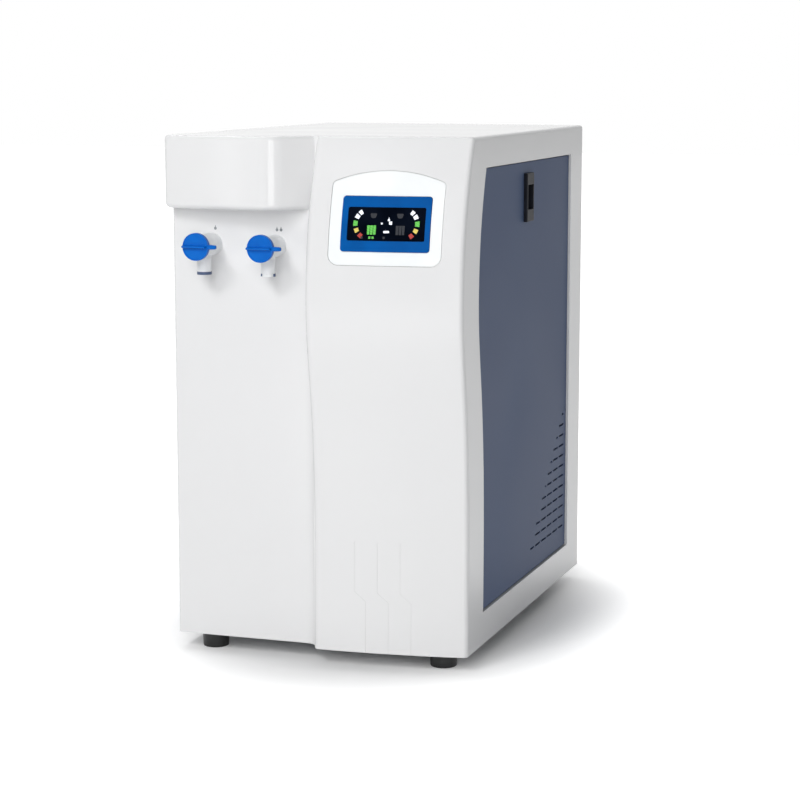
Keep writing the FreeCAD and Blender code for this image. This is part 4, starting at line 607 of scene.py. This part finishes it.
def patch(name, tone, left, right, low, high, foot=1.0, round_by=0.3):
    """A sign placed from the screen's middle, with rounded corners and maybe a narrower foot."""
    z = screen_z + (low + high) / 2
    middle = Vector((screen_x + (left + right) / 2, window_low.y - AHEAD, z)) * MM
    begin("plane", size=(right - left) * MM, location=middle, rotation=UPRIGHT)
    bpy.ops.transform.resize(value=(1, 1, (high - low) / (right - left)), center_override=middle)
    choose(lambda place, normal: place.z < z, "VERT")
    bpy.ops.transform.resize(value=(foot, 1, 1), center_override=middle)
    bpy.ops.mesh.select_all(action="SELECT")
    bpy.ops.mesh.bevel(offset=round_by * MM, segments=3, affect="VERTICES")
    return lay_on("display_window", name, LIT[tone])


def drop(x, y, z, radius):
    """A water drop: a disc whose topmost points are pulled up to a tip."""
    begin("circle", vertices=32, radius=radius * MM, fill_type="NGON", rotation=UPRIGHT,
          location=Vector((x, y, z)) * MM)
    choose(lambda place, normal: place.z > z + radius * 0.98, "VERT")
    bpy.ops.transform.translate(value=(0, 0, radius * 1.1 * MM))
    choose(lambda place, normal: z + radius * 0.6 < place.z < z + radius * 0.98, "VERT")
    bpy.ops.transform.resize(value=(0.72, 1, 1))
    bpy.ops.transform.translate(value=(0, 0, radius * 0.25 * MM))


for side, label in ((-1, "left"), (1, "right")):
    for number, (tone, start, end) in enumerate(SEGMENTS, start=1):
        gauge_segment("gauge_%s_%d" % (label, number), side, tone, start, end)
tank_low, tank_high = -10.3, -1.3
for number in (-1, 0, 1):
    for sign, tone, x in (("tank_cell_%d", "green", number * CELL_STEP - TANK_SIDE),
                          ("tank_off_%d", "unlit", number * CELL_STEP + TANK_SIDE)):
        patch(sign % (number + 2), tone, x - CELL_HALF, x + CELL_HALF, tank_low, tank_high, 0.86)
for number, tone in ((-1, "green"), (1, "green"), (-6, "unlit"), (8, "unlit")):
    x = number * MARK_SPAN - TANK_SIDE
    patch("tank_mark_%d" % (number + 7), tone, x - MARK_HALF, x + MARK_HALF,
          tank_low - 4.0, tank_low - 1.8)
patch("sign_square", "white", 3.0, 6.0, -0.4, 2.8)
patch("sign_bar", "white", -2.4, 3.6, -8.6, -6.4, 1.0, 0.9)
patch("sign_tick", "white", -5.4, -3.2, -0.4, 1.4, 0.5)
drop(screen_x + 2.6, window_low.y - AHEAD, screen_z + 4.0, 1.2)
lay_on("display_window", "sign_drop", LIT["white"])
for number, (x, z) in enumerate(((-13.0, 7.4), (13.6, 7.4)), start=1):
    patch("sign_off_%d" % number, "unlit", x - 3.6, x + 3.6, z - 1.6, z + 3.0, 0.6, 1.2)

# %% [markdown]
# ## Marks over the taps
# Over each tap the wall carries a small printed mark. Here it is a plain water drop, one for the
# left tap and two for the right, in grey ink that is duller than the wall.

# %% Printed marks over the taps
ink_grey = moulded("pad_print_ink_grey", "7C8084", "8C9094", 0.35, 0.4, 0.004)
TUBE_RADIUS, MARK_RISE, MARK_RADIUS, MARK_STEP = 11.5, 16.0, 1.5, 2.2
for side, places in (("left", (4.0,)), ("right", (4.0 - MARK_STEP, 4.0 + MARK_STEP))):
    low, high = box_mm("tap_body_" + side)
    x = (low.x + high.x) / 2
    z = high.z - TUBE_RADIUS + MARK_RISE
    for number, aside in enumerate(places, start=1):
        drop(x + aside, low.y - AHEAD, z, MARK_RADIUS)
        lay_on("front_cover", "tap_mark_%s_%d" % (side, number), ink_grey, 0.08)
print("marks over the taps at height, mm:", round(z, 1))

# %% [markdown]
# ## Screws
# Pan-head screws hold the rear panel, the fan guard and the power inlet. One screw is modelled:
# a cylinder whose rim is rounded, with a cross cut into its head by two crossed bars. The others
# are copies of it.

# %% Model one cross-head screw and copy it to the rear
HEAD_RADIUS, HEAD_HIGH = 3.8, 2.4
rear_y = box_mm("rear_panel")[1].y


def screw_head():
    begin_rod((0, 0, 0), (0, HEAD_HIGH, 0), HEAD_RADIUS, 24)
    choose_end("y", 1)
    inset(0.9, 0.5)
    head = finished("screw", screw_steel, bevel=0.25, sharp=20)
    arms = []
    for long, wide in ((4.2, 0.9), (0.9, 4.2)):
        begin_box((-long / 2, HEAD_HIGH - 1.2, -wide / 2), (long / 2, HEAD_HIGH + 2, wide / 2))
        arms.append(finished("slot", screw_steel, bevel=0.1))
    cross = joined("cross", arms)
    modify(head, "BOOLEAN", object=cross, operation="DIFFERENCE", solver="EXACT", use_self=True)
    bpy.data.objects.remove(cross)
    return head


master = screw_head()
low, high = box_mm("rear_screws")
places = [(x, rear_y, z) for x in (low.x + HEAD_RADIUS, high.x - HEAD_RADIUS)
          for z in (low.z + HEAD_RADIUS, high.z - HEAD_RADIUS)]
heads = [copied(master, "head", place, Matrix.Rotation(0.4 * number, 4, "Y"))
         for number, place in enumerate(places)]
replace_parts(joined("rear_screw_heads", heads), "rear_screws")
print("rear screws:", len(places))

# %% [markdown]
# ## Fan guard
# A wire guard stands over the fan's opening: four steel rings welded to two crossed wires. The
# rings are tori, flattened a little where the welding jaws pressed them, and the crossed wires
# end in four eyes under the screws.

# %% Wire guard over the fan
fan_low, fan_high = box_mm("fan_frame")
fan_x, fan_z = (fan_low.x + fan_high.x) / 2, (fan_low.z + fan_high.z) / 2
WIRE, GUARD_OUT, RING_STEP, EYE_SIDE, EYE_RADIUS = 0.9, 37.0, 8.6, 35.75, 3.6
chrome = brushed("nickel_plated_wire", "A9ACAF", "C4C7C9", 0.25, (1, 6, 1))


def wire_ring(name, place, radius, segments):
    """A ring of wire, flattened a little on the side that lies on other metal."""
    begin("torus", major_radius=radius * MM, minor_radius=WIRE * MM, major_segments=segments,
          minor_segments=8, rotation=UPRIGHT, location=Vector(place) * MM)
    choose(lambda middle, normal: normal.y < -0.6)
    bpy.ops.transform.translate(value=(0, 0.15 * MM, 0))
    return finished(name, chrome)


wires = [wire_ring("ring", (fan_x, rear_y + WIRE * 2, fan_z), GUARD_OUT - number * RING_STEP, 64)
         for number in range(4)]
for turn in (45, 135):
    reach = Vector((math.cos(math.radians(turn)), 0, math.sin(math.radians(turn))))
    middle = Vector((fan_x, rear_y + WIRE * 0.9, fan_z))
    reach *= EYE_SIDE * math.sqrt(2)
    begin_rod(middle - reach, middle + reach, WIRE, 10)
    bpy.ops.mesh.select_all(action="SELECT")
    bpy.ops.mesh.subdivide(number_cuts=1)
    wires.append(finished("strut", chrome, bevel=0.2))
for x in (-1, 1):
    for z in (-1, 1):
        place = (fan_x + x * EYE_SIDE, rear_y, fan_z + z * EYE_SIDE)
        wires.append(wire_ring("eye", Vector(place) + Vector((0, WIRE, 0)), EYE_RADIUS, 24))
        wires.append(copied(master, "head", place, Matrix.Rotation(0.3 + x + z, 4, "Y")))
joined("fan_guard", wires)
print("fan guard of", len(wires), "wires, rings and screws")

# %% [markdown]
# ## Power inlet and switch
# The inlet's flange is held by two small screws, copies of the one above. The rocker carries a
# plain bar and ring, the usual signs for on and off, as thin raised patches that rock with it.

# %% Inlet screws and the rocker's signs
low, high = box_mm("power_inlet")
SCREW_INSET = 4.6  # from the flange's end to the middle of its screw
pair = [copied(master, "head", (x, high.y, (low.z + high.z) / 2))
        for x in (low.x + SCREW_INSET, high.x - SCREW_INSET)]
joined("inlet_screws", pair)
low, high = box_mm("switch_rocker")
x, middle = (low.x + high.x) / 2, (low.z + high.z) / 2


def on_rocker(name):
    """Lay the flat sign forward on to the rocker's tilted face."""
    piece = bpy.context.object
    modify(piece, "SHRINKWRAP", target=frame["nodes"]["switch_rocker"], wrap_method="PROJECT",
           use_project_y=True, use_positive_direction=False, use_negative_direction=True)
    modify(piece, "SOLIDIFY", thickness=0.1 * MM, offset=0.0)
    return finished(name, sign_white, "switch")


sign_white = moulded("pad_print_white", "E4E5E3", "EFF0EE", 0.4, 1.0, 0.004)
REAR_UPRIGHT, SIGN_ASIDE = (math.radians(-90), 0.0, 0.0), 6.4
place = Vector((x, high.y + AHEAD, middle + SIGN_ASIDE)) * MM
begin("plane", size=1.4 * MM, location=place, rotation=REAR_UPRIGHT)
bpy.ops.transform.resize(value=(1, 1, 3.2), center_override=place)
bpy.ops.mesh.subdivide(number_cuts=3)
on_rocker("rocker_sign_on")
begin("circle", vertices=40, radius=2.6 * MM, rotation=REAR_UPRIGHT, fill_type="NGON",
      location=Vector((x, high.y + AHEAD, middle - SIGN_ASIDE)) * MM)
inset(1.0)
bpy.ops.mesh.delete(type="FACE")
on_rocker("rocker_sign_off")
print("inlet held by", len(pair), "screws, rocker marked")

# %% [markdown]
# ## Numbers by the rear ports
# The three tube ports are told apart by plain numbers, printed on the panel beside them. Each is
# text turned to a mesh and given a hair of thickness.

# %% Port numbers
for number in (1, 2, 3):
    low, high = box_mm("port_collet_%d" % number)
    bpy.ops.object.select_all(action="DESELECT")
    bpy.ops.object.text_add(location=((low.x + high.x) / 2 * MM, (rear_y + 0.02) * MM, 92 * MM),
                            rotation=(math.radians(90), 0, math.radians(180)))
    words = bpy.context.object
    words.data.body = str(number)
    words.data.size, words.data.extrude = 9 * MM, 0.05 * MM
    words.data.align_x = "CENTER"
    bpy.ops.object.convert(target="MESH")
    bpy.ops.object.transform_apply(location=True, rotation=True, scale=True)
    finished("port_number_%d" % number, fan_black)
print("port numbers set over the ports")

# %% [markdown]
# ## Grip ribs and labels on the cartridges
# A cartridge is turned by hand, so the real moulding has upright grip ribs round its foot. One rib
# is a bar whose ends are drawn in, and it is copied round the shell. The plain paper label is a
# stretch of a cylinder's wall, cut free and given the thickness of paper, with one coloured band
# that tells the two cartridges apart.

# %% Ribs and labels of the cartridges
RIBS, RIB_FOOT, RIB_TOP, RIB_WIDE, RIB_OUT = 24, 72.0, 112.0, 3.0, 1.2
LABEL_LOW, LABEL_HIGH, BAND_LOW, BAND_HIGH = 190.0, 310.0, 282.0, 298.0
LABEL_THICK, BAND_OVER, LABEL_HALF_TURN = 0.12, 0.14, 62
paper = moulded("printed_paper_label", "E6E7E4", "F0F1EE", 0.45, 1.2, 0.005)
band_blue = moulded("printed_band_blue", "2B6CB0", "3577BC", 0.4, 1.2, 0.005)
band_green = moulded("printed_band_green", "2F8A57", "3A9763", 0.4, 1.2, 0.005)


def middle_of(node):
    low, high = box_mm(node)
    return (low + high) / 2, low, high


def keep_wall(unwanted):
    """Cut the unwanted faces off a cylinder and give the rest the thickness of a label."""
    choose(unwanted)
    bpy.ops.mesh.delete(type="FACE")
    modify(bpy.context.object, "SOLIDIFY", thickness=LABEL_THICK * MM, offset=1.0)


def wall_patch(name, node, radius, low, high, facing, spread_by, material):
    """A curved patch round a node: the part of an upright cylinder's wall that faces one way."""
    centre = middle_of(node)[0]
    begin_rod((centre.x, centre.y, low), (centre.x, centre.y, high), radius, 96)
    limit = math.cos(math.radians(spread_by))
    keep_wall(lambda place, normal: abs(normal.z) > 0.5 or normal.x * facing < limit)
    return finished(name, material, BODY_OF[node])


def round_ribs(name, node, count, low, high, wide, out, material):
    """A ring of upright bars, each with its ends drawn in, on a node's round wall."""
    centre, box_low, box_high = middle_of(node)
    radius = (box_high.x - box_low.x) / 2
    begin_box((centre.x + radius - 1.0, centre.y - wide / 2, low),
              (centre.x + radius + out, centre.y + wide / 2, high))
    choose_end("x", 1)
    bpy.ops.transform.resize(value=(1, 0.6, 1 - 2 * out / (high - low)))
    bar = finished("bar", material, BODY_OF[node], bevel=0.3)
    turns = [Matrix.Rotation(2 * math.pi * number / count, 4, "Z") for number in range(count)]
    bars = [copied(bar, "rib", spin=turn, around=centre) for turn in turns]
    bpy.data.objects.remove(bar)
    joined(name, bars, BODY_OF[node])


for label, facing, tone in (("prefilter", -1, band_blue), ("polisher", 1, band_green)):
    node = label + "_cartridge"
    centre, low, high = middle_of(node)
    radius = (high.x - low.x) / 2
    round_ribs(label + "_grip_ribs", node, RIBS, RIB_FOOT, RIB_TOP, RIB_WIDE, RIB_OUT, filter_white)
    wall_patch(label + "_label", node, radius, LABEL_LOW, LABEL_HIGH, facing,
               LABEL_HALF_TURN, paper)
    wall_patch(label + "_band", node, radius + BAND_OVER, BAND_LOW, BAND_HIGH, facing,
               LABEL_HALF_TURN, tone)
print("cartridges dressed with", RIBS, "ribs and a label each")

# %% [markdown]
# ## Caps of the membrane vessel and the lamp reactor
# The end caps of both vessels are screwed on, so they carry the same kind of ribs as a jar lid:
# moulded on the membrane vessel, milled on the steel reactor. The reactor's body wears a plain
# yellow band that warns of the light inside.

# %% Ribbed caps and the warning band
CAP_RIBS, CAP_RIB_WIDE, CAP_OUT, LIP, NIPPLE = 36, 2.0, 0.7, 2.5, 12.0
WARNING_LOW, WARNING_HIGH, CAP_OVER, BAND_HALF_TURN = 230.0, 262.0, 2.0, 89
band_yellow = moulded("printed_band_yellow", "D9B21C", "E3BE2E", 0.35, 1.2, 0.005)
for node, tall, material in (("membrane_vessel", 18.0, filter_white),
                             ("lamp_housing", 14.0, reactor_steel)):
    low, high = box_mm(node)
    top = high.z - NIPPLE
    for end, foot, head in (("foot", low.z, low.z + tall), ("head", top - tall, top)):
        round_ribs("%s_cap_%s" % (node, end), node, CAP_RIBS, foot + LIP, head - LIP, CAP_RIB_WIDE,
                   CAP_OUT, material)
wall_patch("lamp_warning_band", "lamp_housing", (high.x - low.x) / 2 - CAP_OVER, WARNING_LOW,
           WARNING_HIGH, 1, BAND_HALF_TURN, band_yellow)
print("caps ribbed:", CAP_RIBS, "ribs each")

# %% [markdown]
# ## Pumps
# Each pump head is bolted through its four corners, and the motor behind it has a pressed end cap
# and a rating band. The bolts are six-sided heads on round washers, modelled once and copied.

# %% Bolts, end caps and bands of the pumps
BOLT_INSET, BOLT_RADIUS, WASHER_RADIUS = 8.0, 4.0, 5.2
PUMP_SIDE, PUMP_HIGH, HEAD_SIDE = 75.0, 62.0, 64.0
COVER_RADIUS, END_CAP_RADIUS, MOTOR_RADIUS = 17.0, 22.0, 28.12
begin_rod((0, 0, 0), (0, -1.0, 0), WASHER_RADIUS, 24)
washer = finished("washer", screw_steel, bevel=0.2)
begin_rod((0, -1.0, 0), (0, -4.6, 0), BOLT_RADIUS, 6)
choose_end("y", -1)
inset(0.5, 0.3)
bolt = joined("bolt", [washer, finished("hexagon", screw_steel, bevel=0.25, sharp=20)])
low, high = box_mm("pump_heads")
motor_low, motor_high = box_mm("pump_motors")
for side, label in ((-1, "left"), (1, "right")):
    x, z = side * PUMP_SIDE, PUMP_HIGH
    bolts = [copied(bolt, "bolt", (x + i * (HEAD_SIDE / 2 - BOLT_INSET), low.y,
                                   z + k * (HEAD_SIDE / 2 - BOLT_INSET)))
             for i in (-1, 1) for k in (-1, 1)]
    joined("pump_bolts_" + label, bolts)
    begin_rod((x, low.y + 0.5, z), (x, low.y - 3.0, z), COVER_RADIUS, 48)
    choose_end("y", -1)
    inset(4.0)
    push(y=-2.0)
    inset(3.0, 1.0)
    finished("pump_cover_" + label, pump_grey, bevel=0.5)
    begin_rod((x, motor_high.y - 0.5, z), (x, motor_high.y + 5.0, z), END_CAP_RADIUS, 48)
    choose_end("y", 1)
    inset(6.0, 1.5)
    inset(3.0)
    push(y=2.5)
    finished("pump_end_cap_" + label, pump_black, bevel=0.8, steps=3)
    begin_rod((x, motor_low.y + 26.0, z), (x, motor_low.y + 52.0, z), MOTOR_RADIUS, 96)
    keep_wall(lambda place, normal: abs(normal.y) > 0.5 or normal.x * side < 0.3)
    finished("pump_rating_band_" + label, supply_steel)
bpy.data.objects.remove(bolt)
print("pump heads bolted at", len(bolts), "corners each")

# %% [markdown]
# ## Power supply
# The supply's case is folded aluminium with rows of pressed vent slots. Its front end carries a
# block of screw terminals. The slots are not cut open: one slot is a dark bar with rounded ends,
# set into the case's wall, painted shade that stands for the dark inside of an open slot. One
# terminal is a steel screw in a black cell.

# %% Vent slots and terminals of the power supply
low, high = box_mm("power_supply")
VENT_ROWS, VENT_COLUMNS, VENT_STEP, VENT_DROP = 6, 3, 26.0, 8.0
TERMINALS, TERMINAL_STEP = 7, 9.0
# The vent slots are thin black bars: painted shade where open slots would show their dark inside.
begin_box((low.x - 0.15, low.y + 16.0, high.z - 12.0), (low.x + 0.6, low.y + 34.0, high.z - 9.6))
choose(lambda place, normal: abs(normal.y) > 0.9)
bpy.ops.mesh.bevel(offset=0.5 * MM, segments=2)
repeated("supply_vent_painted_shade", finished("vent", fan_black),
         [(0, column * VENT_STEP, -row * VENT_DROP) for row in range(VENT_ROWS)
          for column in range(VENT_COLUMNS)])
begin_box((low.x + 8.0, low.y - 9.0, low.z + 8.0), (low.x + 16.5, low.y + 0.5, low.z + 20.0))
choose_end("y", -1)
inset(1.2, -3.0)
cell = finished("cell", fan_black, bevel=0.25)
x, z = low.x + 12.25, low.z + 14.0
begin_rod((x, low.y - 6.0, z), (x, low.y - 7.6, z), 2.8, 20)
choose_end("y", -1)
inset(0.5, 0.2)
repeated("supply_terminals", joined("terminal", [cell, finished("head", screw_steel, bevel=0.2)]),
         [(number * TERMINAL_STEP, 0, 0) for number in range(TERMINALS)])
print("vent slots:", VENT_ROWS * VENT_COLUMNS, "terminals:", TERMINALS)

# %% [markdown]
# ## Control board
# The bare board of the frame gets what is soldered to it: can-shaped capacitors with a sunken
# top, a finned heat sink, plug headers with their pins, and the screws that hold it to its posts.

# %% Capacitors, heat sink, plugs and screws of the control board
low, high = box_mm("control_board")
BOARD_THICK, SCREW_IN = 1.6, 8.0
CANS, FINS, PINS, PLUGS = 3, 7, 5, 4
CAN_STEP, FIN_STEP, PIN_STEP, PLUG_STEP = 14.0, 5.1, 4.0, 28.0
face = low.x + BOARD_THICK
begin_rod((face, high.y - 20, low.z + 22), (face + 14.0, high.y - 20, low.z + 22), 5.0, 32)
choose_end("x", 1)
inset(0.7, -0.4)
repeated("board_capacitors", finished("capacitor", supply_steel, bevel=0.5, steps=3),
         [(0, 0, number * CAN_STEP) for number in range(CANS)])
begin_box((face, high.y - 46, high.z - 40), (face + 3.0, high.y - 14, high.z - 12))
sink = [finished("sink_base", supply_steel, bevel=0.3)]
begin_box((face + 2.5, high.y - 46, high.z - 40), (face + 16.0, high.y - 44.6, high.z - 12))
choose_end("x", 1)
bpy.ops.transform.resize(value=(1, 0.6, 1))
fin = finished("fin", supply_steel, bevel=0.15)
sink += [copied(fin, "fin", (0, number * FIN_STEP, 0)) for number in range(FINS)]
bpy.data.objects.remove(fin)
joined("board_heat_sink", sink)
begin_box((face, low.y + 8, low.z + 8), (face + 9.0, low.y + 15, low.z + 30))
choose_end("x", 1)
inset(1.0, -6.0)
plug = finished("plug", tap_white, bevel=0.25)
pins = []
for number in range(PINS):
    z = low.z + 11.0 + number * PIN_STEP
    begin_box((face + 2, low.y + 11.1, z), (face + 7.5, low.y + 11.9, z + 0.8))
    choose_end("x", 1)
    bpy.ops.transform.resize(value=(1, 0.5, 0.5))
    pins.append(finished("pin", brass, bevel=0.05))
repeated("board_plugs", joined("plug", [plug] + pins),
         [(0, 0, number * PLUG_STEP) for number in range(PLUGS)])
outward = Matrix.Rotation(math.radians(-90), 4, "Z")
screws = [copied(master, "screw", (face, y, z), outward)
          for y in (low.y + SCREW_IN, high.y - SCREW_IN)
          for z in (low.z + SCREW_IN, high.z - SCREW_IN)]
joined("board_screws", screws)
bpy.data.objects.remove(master)
print("control board carries capacitors, a heat sink, plugs and screws")

# %% [markdown]
# ## Inlet valve and conductivity cell
# The valve's coil is clipped on by a steel nut and fed through a flat plug, and the cell is
# screwed in by a six-sided cap from which its thin sheathed lead would run.

# %% Nut and plug of the valve, cap of the cell
centre, low, high = middle_of("inlet_valve")
begin_rod((centre.x, centre.y, high.z - 0.5), (centre.x, centre.y, high.z + 5.0), 6.5, 6)
choose_end("z", 1)
inset(1.6)
push(z=2.0)
finished("valve_nut", screw_steel, bevel=0.4, sharp=20)
begin_box((low.x - 1.0, centre.y - 7.0, high.z - 21.0),
          (centre.x - 10.0, centre.y + 7.0, high.z - 6.0))
choose_end("x", -1)
inset(2.0)
push(x=-3.0)
finished("valve_plug", fan_black, bevel=0.6)
centre, low, high = middle_of("conductivity_cell")
begin_rod((centre.x, centre.y, high.z - 11.0), (centre.x, centre.y, high.z - 1.0), 9.6, 6)
choose_end("z", 1)
inset(1.5, 0.8)
finished("cell_cap", fan_black, bevel=0.5)
print("valve and cell capped")

# %% [markdown]
# ## Studio
# A plain pale floor, a small key light from the upper left that throws the taps' shadows down and
# to the right, a wide fill from the front, a soft top light, two upright strips that draw soft
# bands on the gloss hood, and a dim even surround. The camera, gloss and glass see the surround
# and the far floor as white.

# %% Floor, lights and surround
FOOTPRINT = Vector((0.162, 0.23))
SHADOW_TO, WHITE_FROM = 0.95, 2.1
SURROUND_STRENGTH = 0.2


def seen_as_white(owner):
    """1 for rays from the camera and for those that gloss or glass sends on, otherwise 0."""
    path = add_node(owner, "ShaderNodeLightPath").outputs
    seen = path["Is Camera Ray"]
    for ray in ("Is Glossy Ray", "Is Transmission Ray"):
        seen = add_node(owner, "ShaderNodeMath", {"operation": "MAXIMUM"},
                        {0: seen, 1: path[ray]}).outputs[0]
    return seen


def floor_finish():
    """White paint that keeps the object's shadow and goes to pure white a step away."""
    material, shader = new_material("pale_floor", Roughness=0.7)
    tint(material, shader, two_tones(material, pattern(material, 300), "F6F6F6", "FAFAFA"))
    where = add_node(material, "ShaderNodeTexCoord").outputs["Object"]
    squeezed = add_node(material, "ShaderNodeMapping",
                        {"Scale": (1 / FOOTPRINT.x, 1 / FOOTPRINT.y, 1.0)}, {"Vector": where})
    away = add_node(material, "ShaderNodeVectorMath", {"operation": "LENGTH"},
                    {0: squeezed.outputs["Vector"]})
    glow = add_node(material, "ShaderNodeMapRange",
                    {"interpolation_type": "SMOOTHSTEP", "From Min": SHADOW_TO,
                     "From Max": WHITE_FROM, "To Min": 0.0, "To Max": 1.0},
                    {"Value": away.outputs["Value"]})
    strength = add_node(material, "ShaderNodeMath", {"operation": "MULTIPLY"},
                        {0: seen_as_white(material), 1: glow.outputs["Result"]})
    light = add_node(material, "ShaderNodeEmission", {"Color": (1, 1, 1, 1)},
                     {"Strength": strength.outputs[0]})
    both = add_node(material, "ShaderNodeAddShader", {},
                    {0: shader.outputs[0], 1: light.outputs[0]})
    output = material.node_tree.nodes["Material Output"]
    material.node_tree.links.new(both.outputs[0], output.inputs["Surface"])
    return material


bpy.ops.object.select_all(action="DESELECT")
bpy.ops.mesh.primitive_plane_add(size=24.0, location=(0, 0, 0))
floor = bpy.context.object
floor.name = "floor"
floor.data.materials.append(floor_finish())


def area_light(name, place, target, size, power, height=None):
    """A square or upright lamp at a place, turned to a target; sizes in metres, power in watts."""
    light = bpy.data.objects.new(name, bpy.data.lights.new(name, "AREA"))
    bpy.context.scene.collection.objects.link(light)
    light.location = place
    light.rotation_mode = "QUATERNION"
    light.rotation_quaternion = (Vector(target) - Vector(place)).to_track_quat("-Z", "Y")
    light.data.shape = "RECTANGLE"
    light.data.size, light.data.size_y = size, height or size
    light.data.energy = power
    return light


# The key and the fill stay out of reflections, so that they leave no spots on the gloss ABS.
area_light("key", (-0.4, -1.9, 1.75), (0, -0.1, 0.33), 0.5, 13).visible_glossy = False
area_light("front", (0.3, -2.9, 1.5), (0, 0, 0.3), 1.4, 33).visible_glossy = False
area_light("top", (-0.6, 0.3, 1.9), (-0.1, 0, 0.5), 1.2, 9)
area_light("strip_left", (-1.32, -2.2, 0.35), (-0.08, -0.2, 0.45), 0.22, 0.3, height=0.44)
area_light("strip_right", (0.78, -2.3, 0.35), (-0.03, -0.2, 0.45), 0.85, 4.0, height=0.44)

world = bpy.data.worlds.new("studio")
bpy.context.scene.world = world
world.use_nodes = True
world.node_tree.nodes.clear()
dim = add_node(world, "ShaderNodeBackground",
               {"Color": (0.96, 0.98, 1.0, 1.0), "Strength": SURROUND_STRENGTH})
white = add_node(world, "ShaderNodeBackground", {"Color": (1.0, 1.0, 1.0, 1.0)})
either = add_node(world, "ShaderNodeMixShader", {},
                  {0: seen_as_white(world), 1: dim.outputs[0], 2: white.outputs[0]})
add_node(world, "ShaderNodeOutputWorld", {}, {"Surface": either.outputs[0]})
bpy.context.scene.view_settings.view_transform = "Standard"
